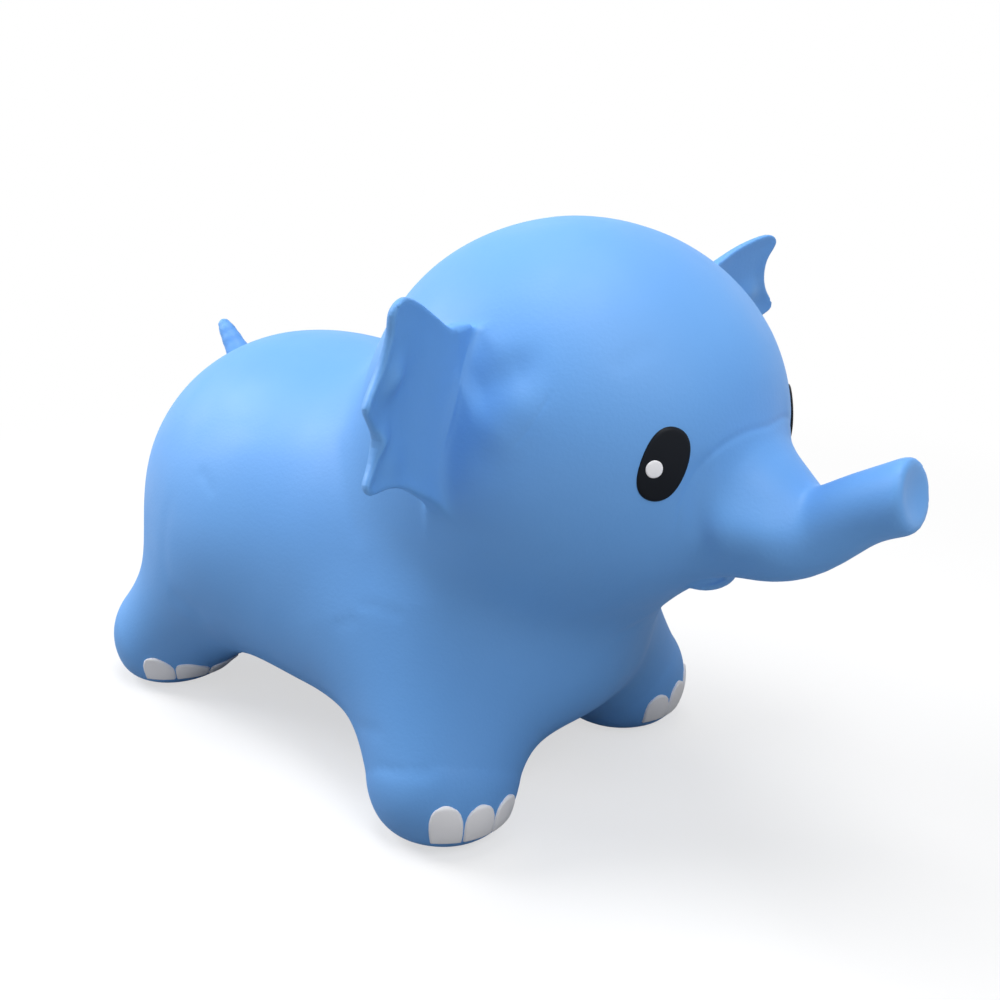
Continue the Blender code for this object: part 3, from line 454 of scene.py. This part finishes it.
def outline_distance(u, v, outline):
    """Signed distance from a closed outline in the plane, below zero inside it."""
    nearest = np.full(u.shape, np.inf)
    inside = np.zeros(u.shape, bool)
    for (au, av), (bu, bv) in zip(outline, np.roll(outline, -1, axis=0)):
        du, dv = bu - au, bv - av
        share = np.clip(((u - au) * du + (v - av) * dv) / (du * du + dv * dv), 0, 1)
        nearest = np.minimum(nearest, (u - au - share * du) ** 2 + (v - av - share * dv) ** 2)
        if av != bv:
            crosses = ((av <= v) & (bv > v)) | ((bv <= v) & (av > v))
            inside ^= crosses & (u < au + (v - av) / (bv - av) * du)
    return np.where(inside, -np.sqrt(nearest), np.sqrt(nearest))


def ear_bend(u, v):
    """How far forward the middle of the ear lies at a place outward and up from its root."""
    reach = np.clip(u / EAR_REACH, 0, 1)
    hollow = EAR_CUP * 4 * reach * (1 - reach) * np.exp(-((v / EAR_CUP_HALF_HEIGHT) ** 2))
    high = np.clip(v / EAR_HALF_HEIGHT, 0, 1)
    return EAR_CURL * reach ** 2 - hollow + EAR_LEAN_SLOPE * v + EAR_TIP_CURL * high ** 2 * reach


def ear_form(points):
    """Signed distance from the left ear."""
    offset = points - EAR_ROOT
    u, v = offset @ EAR_OUTWARD, offset[..., 2]
    w = offset @ EAR_FORWARD - ear_bend(u, v)
    near = (
        (np.abs(w) < EAR_BOX_HALF_DEPTH) & (u > -EAR_BOX_INWARD) & (u < EAR_BOX_OUTWARD)
        & (np.abs(v) < EAR_BOX_HALF_HEIGHT)
    )
    form = np.maximum(np.sqrt(u * u + v * v + w * w) - EAR_BALL_RADIUS, EAR_BALL_LEAST)
    u, v, w = u[near], v[near], w[near]
    reach = np.clip(u / EAR_REACH, 0, 1)
    outline = outline_distance(u, v, EAR_LINE)
    rim = np.clip(1 + outline / EAR_RIM_WIDTH, 0, 1) ** 2 * np.minimum(reach / EAR_RIM_START_SHARE, 1)
    thinner = EAR_THINNING * smooth_step(np.minimum(reach / EAR_THIN_SHARE, 1))
    half = EAR_ROOT_HALF_THICKNESS + (EAR_RIM_HALF_THICKNESS - EAR_ROOT_HALF_THICKNESS) * reach - thinner
    w = w + thinner - EAR_RIM_CURL * rim
    for along, high, radius, rise in EAR_PILLOWS:
        away = (u - along * EAR_REACH) ** 2 + (v - high * EAR_HALF_HEIGHT) ** 2
        swell = rise / 2 * np.exp(-away / radius ** 2)
        half = half + swell
        w = w - swell
    form[near] = smooth_max(outline, np.abs(w) - half, EAR_EDGE)
    return form


def ear_rim():
    """Middle line of the thin rim of the left ear, from its upper root round to its lower root."""
    u, v = EAR_LINE[EAR_FREE_RIM].T
    bend = ear_bend(u, v) - EAR_THINNING + EAR_RIM_CURL
    return EAR_ROOT + u[:, None] * EAR_OUTWARD + v[:, None] * EAR_UP + bend[:, None] * EAR_FORWARD


def mirrored(points):
    """The points, with those of the right side brought over to the left."""
    return points * np.array([1, 0, 1]) + np.abs(points) * np.array([0, 1, 0])


def plain_skin(points):
    """Signed distance from the inflated body with head, trunk and legs."""
    below = -points[..., 2]
    form = smooth_min(ellipsoid(points, *RUMP), ellipsoid(points, *CHEST), BACK_BLEND)
    form = smooth_max(form, BELLY_HEIGHT - points[..., 2], BELLY_BLEND)
    head = smooth_min(ellipsoid(points, *HEAD), ellipsoid(points, *FACE), FACE_BLEND)
    form = smooth_min(form, head, NECK_BLEND)
    form = smooth_min(form, trunk_form(points), TRUNK_BLEND)
    half = mirrored(points)
    for hip, foot, hip_radius in LEGS.values():
        leg = round_cone(half, hip, foot, hip_radius, FOOT_RADIUS)
        form = smooth_min(form, smooth_max(leg, below, SOLE_EDGE), LEG_BLEND)
    return np.maximum(form, below)


def smooth_skin(points):
    """The same with ears, tail and lower lip flowing into it."""
    form = plain_skin(points)
    form = smooth_min(form, ellipsoid(points, *LIP), LIP_BLEND)
    form = smooth_min(form, ear_form(mirrored(points)), EAR_BLEND)
    return smooth_min(form, tail_form(points), TAIL_BLEND)


def slope_of(form, points):
    steps = np.eye(3) * PROBE
    return np.stack([(form(points + step) - form(points - step)) / (2 * PROBE) for step in steps], -1)


def unit(vectors):
    return vectors / np.linalg.norm(vectors, axis=-1, keepdims=True)


def settle(form, points, level=0.0, rounds=6):
    """The points moved along the slope until they lie at that level above the form."""
    points = np.array(points, float)
    for _ in range(rounds):
        slope = slope_of(form, points)
        steep = np.maximum((slope * slope).sum(-1), LEAST_SLOPE)
        points -= ((form(points) - level) / steep)[:, None] * slope
    return points


CREASES = [
    (settle(smooth_skin, smooth_curve(places, MARK_STEPS)), width, depth)
    for width, depth, places in MARKS.values()
]
FINE_LINES = [line for line, width, _ in CREASES if width < FINE_WIDTH] + [ear_rim()]


def line_reach(points, line):
    """Distance from a line of many points, and share of its length at which the nearest place lies."""
    best = np.full(len(points), np.inf)
    place = np.zeros(len(points))
    for index, (a, b) in enumerate(zip(line, line[1:])):
        along = b - a
        share = np.clip(((points - a) @ along) / (along @ along), 0, 1)
        offset = points - a - share[:, None] * along
        reach = (offset * offset).sum(-1)
        place = np.where(reach < best, (index + share) / (len(line) - 1), place)
        best = np.minimum(best, reach)
    return np.sqrt(best), place


def near_line(points, line, reach):
    return ((points > line.min(0) - reach) & (points < line.max(0) + reach)).all(1)


def creases(points):
    """Depth of the marks. Creases run out at their ends, except where they cross the middle plane."""
    flat = mirrored(points)
    dent = np.zeros(len(flat))
    for line, width, depth in CREASES:
        near = near_line(flat, line, MARK_REACH * width)
        if near.any():
            reach, place = line_reach(flat[near], line)
            room = 1 - place if abs(line[0, 1]) < width else np.minimum(place, 1 - place)
            room = np.clip(room / MARK_END_SHARE, 0, 1) if depth > 0 else np.ones(len(place))
            dent[near] += depth * smooth_step(room) * np.exp(-(reach / width) ** 2)
    return dent


def waves(points):
    return sum(height * np.sin(points @ np.array(turns) + start) for height, turns, start in WAVES)


def whole_skin(points):
    """The skin with its creases pressed in and its slight waviness."""
    return smooth_skin(points) + creases(points) + waves(points)


# Fine mesh of the whole skin

def in_batches(form, points):
    return np.concatenate([form(points[start:start + BATCH]) for start in range(0, len(points), BATCH)])


def skin_values():
    """Values of the skin on a grid, exact near the surface and rough elsewhere, and the grid's low corner."""
    low = np.array(CAD_LOW, float) - MARGIN_VOXELS * VOXEL
    counts = np.ceil((np.array(CAD_HIGH, float) - low) / VOXEL).astype(int) + MARGIN_VOXELS
    counts = (counts + COARSE - 1) // COARSE * COARSE + 1
    axes = [low[axis] + VOXEL * np.arange(counts[axis]) for axis in range(3)]
    rough = np.stack(np.meshgrid(*[axis[::COARSE] for axis in axes], indexing="ij"), -1)
    coarse = in_batches(whole_skin, rough.reshape(-1, 3)).reshape(rough.shape[:3])
    index = [(np.arange(count) + COARSE // 2) // COARSE for count in counts]
    values = coarse[np.ix_(*index)]
    near = np.argwhere(np.abs(values) < NEAR_SHARE * VOXEL * COARSE)
    values[tuple(near.T)] = in_batches(whole_skin, low + VOXEL * near)
    return values, low


def surface_net(values, low):
    """One point in each grid cell that the surface crosses, and one quad for each crossed grid edge."""
    inside = values < 0
    corners = [np.array(corner) for corner in np.ndindex(2, 2, 2)]
    sizes = np.array(values.shape) - 1

    def shifted(corner):
        return inside[tuple(slice(start, start + size) for start, size in zip(corner, sizes))]

    full = sum(shifted(corner).astype(np.int8) for corner in corners)
    cells = np.argwhere((full > 0) & (full < len(corners)))
    number = np.full(sizes, -1)
    number[tuple(cells.T)] = np.arange(len(cells))
    total = np.zeros((len(cells), 3))
    hits = np.zeros(len(cells))
    for first in corners:
        for axis in np.flatnonzero(first == 0):
            second = first.copy()
            second[axis] = 1
            a = values[tuple((cells + first).T)]
            b = values[tuple((cells + second).T)]
            crossed = (a < 0) != (b < 0)
            share = a[crossed] / (a[crossed] - b[crossed])
            total[crossed] += first + share[:, None] * (second - first)
            hits[crossed] += 1
    points = low + VOXEL * (cells + total / hits[:, None])
    faces = []
    axes = np.eye(3, dtype=int)
    for step, across, up in zip(axes, axes[[1, 2, 0]], axes[[2, 0, 1]]):
        here = inside[tuple(slice(0, size - s) for size, s in zip(inside.shape, step))]
        there = inside[tuple(slice(s, size) for size, s in zip(inside.shape, step))]
        nodes = np.argwhere(here != there)
        ring = (nodes - across - up, nodes - up, nodes, nodes - across)
        quad = np.stack([number[tuple(cell.T)] for cell in ring], -1)
        rising = here[tuple(nodes.T)]
        quad[~rising] = quad[~rising][:, ::-1]
        faces.append(quad)
    return points, np.concatenate(faces)


def eased(points, faces):
    """Each point at the mean of its neighbours."""
    ends = np.concatenate([faces, np.roll(faces, -1, axis=1)], 1).reshape(-1, 2, 4)
    a, b = ends[:, 0].ravel(), ends[:, 1].ravel()
    total = np.zeros_like(points)
    np.add.at(total, a, points[b])
    np.add.at(total, b, points[a])
    count = np.bincount(a, minlength=len(points)) + np.bincount(b, minlength=len(points))
    return total / count[:, None]


def refined(points, faces):
    """The same mesh with smaller faces along the fine creases and the rims of the ears."""
    mesh = bpy.data.meshes.new("skin_grid")
    mesh.from_pydata(points.tolist(), [], faces.tolist())
    shape = bmesh.new()
    shape.from_mesh(mesh)
    bpy.data.meshes.remove(mesh)
    for near in (FINE_NEAR, FINE_NEAR / 2):
        middles = np.array([(edge.verts[0].co + edge.verts[1].co) / 2 for edge in shape.edges])
        chosen = np.zeros(len(middles), bool)
        flat = mirrored(middles)
        for line in FINE_LINES:
            close = np.flatnonzero(near_line(flat, line, near))
            chosen[close] |= line_reach(flat[close], line)[0] < near
        shape.edges.ensure_lookup_table()
        edges = [shape.edges[index] for index in np.flatnonzero(chosen)]
        bmesh.ops.subdivide_edges(shape, edges=edges, cuts=1, use_grid_fill=True)
    shape.verts.ensure_lookup_table()
    points = np.array([vertex.co for vertex in shape.verts])
    faces = [[vertex.index for vertex in face.verts] for face in shape.faces]
    shape.free()
    return points, faces


def skin_mesh():
    points, faces = surface_net(*skin_values())
    for _ in range(EASING_ROUNDS):
        points = settle(whole_skin, eased(points, faces), rounds=2)
    points, faces = refined(points, faces)
    points = settle(whole_skin, points, rounds=3)
    return points, faces, unit(slope_of(whole_skin, points))


def new_object(name, data):
    thing = bpy.data.objects.new(name, data)
    bpy.context.scene.collection.objects.link(thing)
    return thing


def piece_from(name, points, faces, look, normals=None):
    """A piece with those faces and the points that they use."""
    used = sorted({index for face in faces for index in face})
    place = {index: count for count, index in enumerate(used)}
    mesh = bpy.data.meshes.new(name)
    mesh.from_pydata(points[used].tolist(), [], [[place[index] for index in face] for face in faces])
    mesh.shade_smooth()
    if normals is not None:
        mesh.normals_split_custom_set_from_vertices(normals[used].tolist())
    mesh.materials.append(look)
    return new_object(name, mesh)


# Skin divided into pieces at the seams

def skin_owners(middles):
    """Name of the piece that each face belongs to."""
    flat = mirrored(middles)
    left = middles[:, 1] > 0
    owner = np.full(len(middles), "body", dtype=object)
    owner[(middles - TRUNK_SEAM) @ TRUNK_AXIS > 0] = "trunk"
    near_tail = np.linalg.norm(middles - TAIL_SEAM, axis=1) < TAIL_ZONE
    owner[((middles - TAIL_SEAM) @ TAIL_AXIS > 0) & near_tail] = "tail"
    ears = ((flat - EAR_ROOT) @ EAR_SEAM_AXIS > 0) & (ear_form(flat) < EAR_ZONE)
    for side_name, side in SIDES:
        on_side = left if side > 0 else ~left
        owner[ears & on_side] = f"ear_{side_name}"
        for place, (_, foot, _) in LEGS.items():
            within = np.linalg.norm(flat - np.array(foot), axis=1) < LEG_ZONE
            owner[within & on_side] = f"leg_{place}_{side_name}"
    return owner


def mirror_for(side):
    return np.array([1, side, 1])


def flex_along(place, axis, start, end):
    return place + axis * start, place + axis * end


def leg_flex(place, side):
    """Two points along a leg's seam, on a slant across the foot."""
    foot = np.array(LEGS[place][1])
    outward = unit(np.array([1 if place == "front" else -1, 1, 0]))
    start = foot - LEG_FLEX_START_INWARD * outward
    start[2] = LEG_FLEX_START_HEIGHT
    end = foot - LEG_FLEX_END_INWARD * outward
    end[2] = 0
    return start * mirror_for(side), end * mirror_for(side)


def flex_line(owner):
    """Name of the body at a piece's far end, and two points along its seam."""
    kind, *place = owner.split("_")
    side = dict(SIDES)[place[-1]] if place else 0
    if kind == "trunk":
        return kind, *flex_along(TRUNK_SEAM, TRUNK_AXIS, TRUNK_FLEX_START, TRUNK_FLEX_END)
    if kind == "tail":
        return kind, *flex_along(TAIL_SEAM, TAIL_AXIS, TAIL_FLEX_START, TAIL_FLEX_END)
    if kind == "ear":
        mirror = mirror_for(side)
        return owner, *flex_along(EAR_ROOT * mirror, EAR_SEAM_AXIS * mirror, EAR_FLEX_START, EAR_FLEX_END)
    return f"foot_{place[0]}_{place[1]}", *leg_flex(place[0], side)


def build_skins(look):
    points, faces, normals = skin_mesh()
    owner = skin_owners(np.array([points[face].mean(0) for face in faces]))
    for name in sorted(set(owner)):
        chosen = [faces[index] for index in np.flatnonzero(owner == name)]
        piece = piece_from(f"{name}_vinyl", points, chosen, look, normals)
        kind, _, place = name.partition("_")
        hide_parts(*[start + place for start in REPLACED[kind]])
        if name == "body":
            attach(piece, "body")
        else:
            follows, start, end = flex_line(name)
            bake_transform(piece)


# Raised pads on the skin: eyes, highlights and toenails

def pad(name, place_at, rise_at, look, grid, base=0.0):
    """A closed pad over the skin. place_at gives a place for a share across and up, rise_at its height."""
    shares = np.linspace(-1, 1, grid)
    across, up = (share.ravel() for share in np.meshgrid(shares, shares))
    top = settle(plain_skin, place_at(across, up), base + rise_at(across, up))
    low = settle(plain_skin, top, base - PAD_SINK, rounds=5)
    count = grid * grid
    number = np.arange(count).reshape(grid, grid)
    corners = (number[:-1, :-1], number[:-1, 1:], number[1:, 1:], number[1:, :-1])
    quads = np.stack([corner.ravel() for corner in corners], -1)
    faces = quads.tolist() + (quads[:, ::-1] + count).tolist()
    ring = np.concatenate([number[0, :-1], number[:-1, -1], number[-1, :0:-1], number[:0:-1, 0]])
    after = np.roll(ring, -1)
    faces += np.stack([after, ring, ring + count, after + count], -1).tolist()
    piece = piece_from(name, np.vstack([top, low]), faces, look)
    outward = slope_of(plain_skin, top[count // 2][None])[0]
    if piece.data.polygons[0].normal.dot(Vector(outward)) < 0:
        piece.data.flip_normals()
    return piece


def rounded_edge(inset, width):
    """Quarter-round rise, from 0 at the edge to 1 at that width inside it."""
    return np.sqrt(np.clip(1 - (1 - np.minimum(inset / width, 1)) ** 2, 0, 1))


def disc(a, b):
    """A place in the square brought into the round."""
    return a * np.sqrt(1 - b * b / 2), b * np.sqrt(1 - a * a / 2)


def oval_place(centre, across, upward, half_width, half_height, fullness=0.0):
    def place(a, b):
        x, y = disc(a, b)
        full = 1 + fullness * (x * y) ** 2
        return centre + (x * full)[:, None] * across * half_width + (y * full)[:, None] * upward * half_height
    return place


def oval_rise(height, edge):
    def rise(a, b):
        x, y = disc(a, b)
        inset = np.clip(1 - np.sqrt(x * x + y * y), 0, 1)
        return height * rounded_edge(inset, edge) + height * inset * PAD_CROWN_SHARE
    return rise


def build_eyes(black, white):
    for side_name, side in SIDES:
        centre = settle(plain_skin, [np.array(EYE) * mirror_for(side)])[0]
        outward = unit(slope_of(plain_skin, centre[None])[0])
        across = unit(np.cross((0, 0, 1), outward))
        upward = np.cross(outward, across)
        lean = -EYE_LEAN * side
        leaning_across = across * math.cos(lean) - upward * math.sin(lean)
        leaning_up = upward * math.cos(lean) + across * math.sin(lean)
        shape = oval_place(centre, leaning_across, leaning_up, EYE_HALF_WIDTH, EYE_HALF_HEIGHT, EYE_FULLNESS)
        eye = pad(f"eye_paint_{side_name}", shape, oval_rise(EYE_HEIGHT, EYE_EDGE_SHARE), black, EYE_GRID)
        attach(eye, "body")
        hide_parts(f"eye_{side_name}")
        spot = centre + across * HIGHLIGHT_BACK * side - upward * HIGHLIGHT_DROP
        shape = oval_place(spot, across, upward, HIGHLIGHT_RADIUS, HIGHLIGHT_RADIUS)
        rise = oval_rise(HIGHLIGHT_HEIGHT, HIGHLIGHT_EDGE_SHARE)
        light = pad(f"eye_glint_{side_name}", shape, rise, white, HIGHLIGHT_GRID, base=HIGHLIGHT_BASE)
        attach(light, "body")
        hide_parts(f"eye_highlight_{side_name}")


def nail_place(foot, turn, low, height, pitch):
    half_angle = (pitch * FOOT_RADIUS - NAIL_GROOVE) / (2 * FOOT_RADIUS)
    heights, widths = np.array(NAIL_ROW_SHARES).T

    def place(a, b):
        share = (b + 1) / 2 * heights[-1]
        angle = turn + a * half_angle * np.interp(share, heights, widths)
        return np.stack([
            foot[0] + FOOT_RADIUS * np.cos(angle), foot[1] + FOOT_RADIUS * np.sin(angle),
            low + height * share * (1 + NAIL_CROWN_SHARE * (1 - a * a)),
        ], -1)
    return place


def nail_rise(a, b):
    return NAIL_RISE * rounded_edge(1 - np.maximum(np.abs(a), np.abs(b)), NAIL_EDGE_SHARE)


def build_toenails(white):
    for place, (turns, pitch, low, heights) in NAILS.items():
        for (side_name, side), turn in zip(SIDES, turns):
            foot = np.array(LEGS[place][1]) * mirror_for(side)
            start, end = leg_flex(place, side)
            for index, height in enumerate(heights):
                angle = side * (turn + pitch * (index - len(heights) // 2))
                shape = nail_place(foot, angle, low, height, pitch)
                nail = pad(f"nail_paint_{place}_{side_name}_{index + 1}", shape, nail_rise, white, NAIL_GRID)
                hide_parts(f"toenail_{place}_{side_name}_{index + 1}")
                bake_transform(nail)


# Materials

def new_look(name, colour, roughness, specular):
    look = bpy.data.materials.new(name)
    look.use_nodes = True
    shader = look.node_tree.nodes["Principled BSDF"]
    shader.inputs["Base Color"].default_value = (*colour, 1)
    shader.inputs["Roughness"].default_value = roughness
    shader.inputs["Specular IOR Level"].default_value = specular
    return look, look.node_tree, shader


def noise_between(tree, coordinates, scale, detail, low, high):
    noise = tree.nodes.new("ShaderNodeTexNoise")
    noise.inputs["Scale"].default_value = scale
    noise.inputs["Detail"].default_value = detail
    tree.links.new(coordinates.outputs["Object"], noise.inputs["Vector"])
    span = tree.nodes.new("ShaderNodeMapRange")
    span.inputs["From Min"].default_value = NOISE_LOW
    span.inputs["From Max"].default_value = NOISE_HIGH
    span.inputs["To Min"].default_value = low
    span.inputs["To Max"].default_value = high
    tree.links.new(noise.outputs["Fac"], span.inputs["Value"])
    return span.outputs["Result"]


def coloured(tree, shader, share, first, second):
    """Two tones of the colour in soft patches."""
    mix = tree.nodes.new("ShaderNodeMix")
    mix.data_type = "RGBA"
    mix.inputs["A"].default_value = (*first, 1)
    mix.inputs["B"].default_value = (*second, 1)
    tree.links.new(share, mix.inputs["Factor"])
    tree.links.new(mix.outputs["Result"], shader.inputs["Base Color"])


def bumped(tree, shader, height, strength):
    bump = tree.nodes.new("ShaderNodeBump")
    bump.inputs["Strength"].default_value = strength
    bump.inputs["Distance"].default_value = GRAIN_DEPTH
    tree.links.new(height, bump.inputs["Height"])
    tree.links.new(bump.outputs["Normal"], shader.inputs["Normal"])


def soft_look(name):
    """A soft surface with slight patches of tone and sheen, and a fine grain."""
    first, second, roughness, grain_scale, grain_strength, specular = LOOKS[name]
    look, tree, shader = new_look(name, first, roughness[0], specular)
    coordinates = tree.nodes.new("ShaderNodeTexCoord")
    tone = noise_between(tree, coordinates, TONE_SCALE, TONE_DETAIL, 0.0, 1.0)
    coloured(tree, shader, tone, first, second)
    sheen = noise_between(tree, coordinates, SHEEN_SCALE, SHEEN_DETAIL, *roughness)
    tree.links.new(sheen, shader.inputs["Roughness"])
    grain = noise_between(tree, coordinates, grain_scale, GRAIN_DETAIL, 0.0, 1.0)
    bumped(tree, shader, grain, grain_strength)
    return look


# Studio

def background(tree, strength):
    light = tree.nodes.new("ShaderNodeBackground")
    light.inputs["Color"].default_value = (1, 1, 1, 1)
    light.inputs["Strength"].default_value = strength
    return light.outputs[0]


def either(tree, first, second):
    larger = tree.nodes.new("ShaderNodeMath")
    larger.operation = "MAXIMUM"
    tree.links.new(first, larger.inputs[0])
    tree.links.new(second, larger.inputs[1])
    return larger.outputs[0]


def mixed_shader(tree, share, first, second):
    mix = tree.nodes.new("ShaderNodeMixShader")
    tree.links.new(share, mix.inputs[0])
    tree.links.new(first, mix.inputs[1])
    tree.links.new(second, mix.inputs[2])
    return mix.outputs[0]


def build_world():
    """White where it is seen, mirrored or seen through, and a plain soft light on the object."""
    world = bpy.data.worlds.new("studio")
    bpy.context.scene.world = world
    world.use_nodes = True
    tree = world.node_tree
    tree.nodes.clear()
    path = tree.nodes.new("ShaderNodeLightPath")
    seen = either(tree, path.outputs["Is Camera Ray"], path.outputs["Is Glossy Ray"])
    seen = either(tree, seen, path.outputs["Is Transmission Ray"])
    light = mixed_shader(tree, seen, background(tree, WORLD_LEVEL), background(tree, 1.0))
    out = tree.nodes.new("ShaderNodeOutputWorld")
    tree.links.new(light, out.inputs[0])


def floor_look():
    """Pale floor that keeps the shadow near the object and fades to plain white further out."""
    look, tree, shader = new_look("pale_floor", FLOOR_TONES[0], FLOOR_ROUGHNESS, FLOOR_SPECULAR)
    coordinates = tree.nodes.new("ShaderNodeTexCoord")
    tone = noise_between(tree, coordinates, FLOOR_TONE_SCALE, FLOOR_TONE_DETAIL, 0.0, 1.0)
    coloured(tree, shader, tone, *FLOOR_TONES)
    path = tree.nodes.new("ShaderNodeLightPath")
    glow = tree.nodes.new("ShaderNodeMath")
    glow.operation = "MULTIPLY"
    glow.inputs[1].default_value = FLOOR_GLOW
    tree.links.new(path.outputs["Is Camera Ray"], glow.inputs[0])
    shader.inputs["Emission Color"].default_value = (1, 1, 1, 1)
    tree.links.new(glow.outputs[0], shader.inputs["Emission Strength"])
    reach = tree.nodes.new("ShaderNodeVectorMath")
    reach.operation = "LENGTH"
    tree.links.new(coordinates.outputs["Object"], reach.inputs[0])
    fade = tree.nodes.new("ShaderNodeMapRange")
    fade.interpolation_type = "SMOOTHSTEP"
    fade.inputs["From Min"].default_value = FLOOR_FADE[0]
    fade.inputs["From Max"].default_value = FLOOR_FADE[1]
    tree.links.new(reach.outputs["Value"], fade.inputs["Value"])
    white = tree.nodes.new("ShaderNodeEmission")
    surface = mixed_shader(tree, fade.outputs["Result"], shader.outputs[0], white.outputs[0])
    tree.links.new(surface, tree.nodes["Material Output"].inputs["Surface"])
    return look


def build_floor():
    ring = [
        (FLOOR_RADIUS * math.cos(turn), FLOOR_RADIUS * math.sin(turn), FLOOR_Z)
        for turn in np.linspace(0, 2 * math.pi, FLOOR_CORNERS, endpoint=False)
    ]
    mesh = bpy.data.meshes.new("floor")
    mesh.from_pydata(ring, [], [list(range(FLOOR_CORNERS))])
    mesh.materials.append(floor_look())
    new_object("floor", mesh)


def build_lamps():
    for name, place, size, power in LAMPS:
        light = bpy.data.lights.new(name, "AREA")
        light.shape = "DISK"
        light.size = size
        light.energy = power
        lamp = new_object(name, light)
        lamp.location = place
        lamp.rotation_euler = (LAMP_TARGET - Vector(place)).to_track_quat("-Z", "Y").to_euler()


def build_camera():
    camera = new_object("camera", bpy.data.cameras.new("camera"))
    facing = Vector(CAMERA_BACK).to_track_quat("Z", "Y").to_matrix().to_4x4()
    camera.matrix_world = Matrix.Translation(CAMERA_PLACE) @ facing @ Matrix.Rotation(-CAMERA_ROLL, 4, "Z")
    camera.data.sensor_width = CAMERA_SENSOR_MM
    camera.data.lens = CAMERA_LENS_MM
    camera.data.shift_x, camera.data.shift_y = CAMERA_SHIFT
    camera.data.clip_start = CAMERA_CLIP_START
    bpy.context.scene.camera = camera


def dress_valve(look):
    for node in ("valve_seat", "valve_plug"):
        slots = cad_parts[node].data.materials
        slots.clear()
        slots.append(look)


VINYL, BLACK, WHITE, VALVE = (soft_look(name) for name in LOOKS)
build_camera()
build_world()
build_lamps()
build_floor()
build_skins(VINYL)
build_eyes(BLACK, WHITE)
build_toenails(WHITE)
dress_valve(VALVE)
bpy.context.scene.view_settings.view_transform = "Standard"
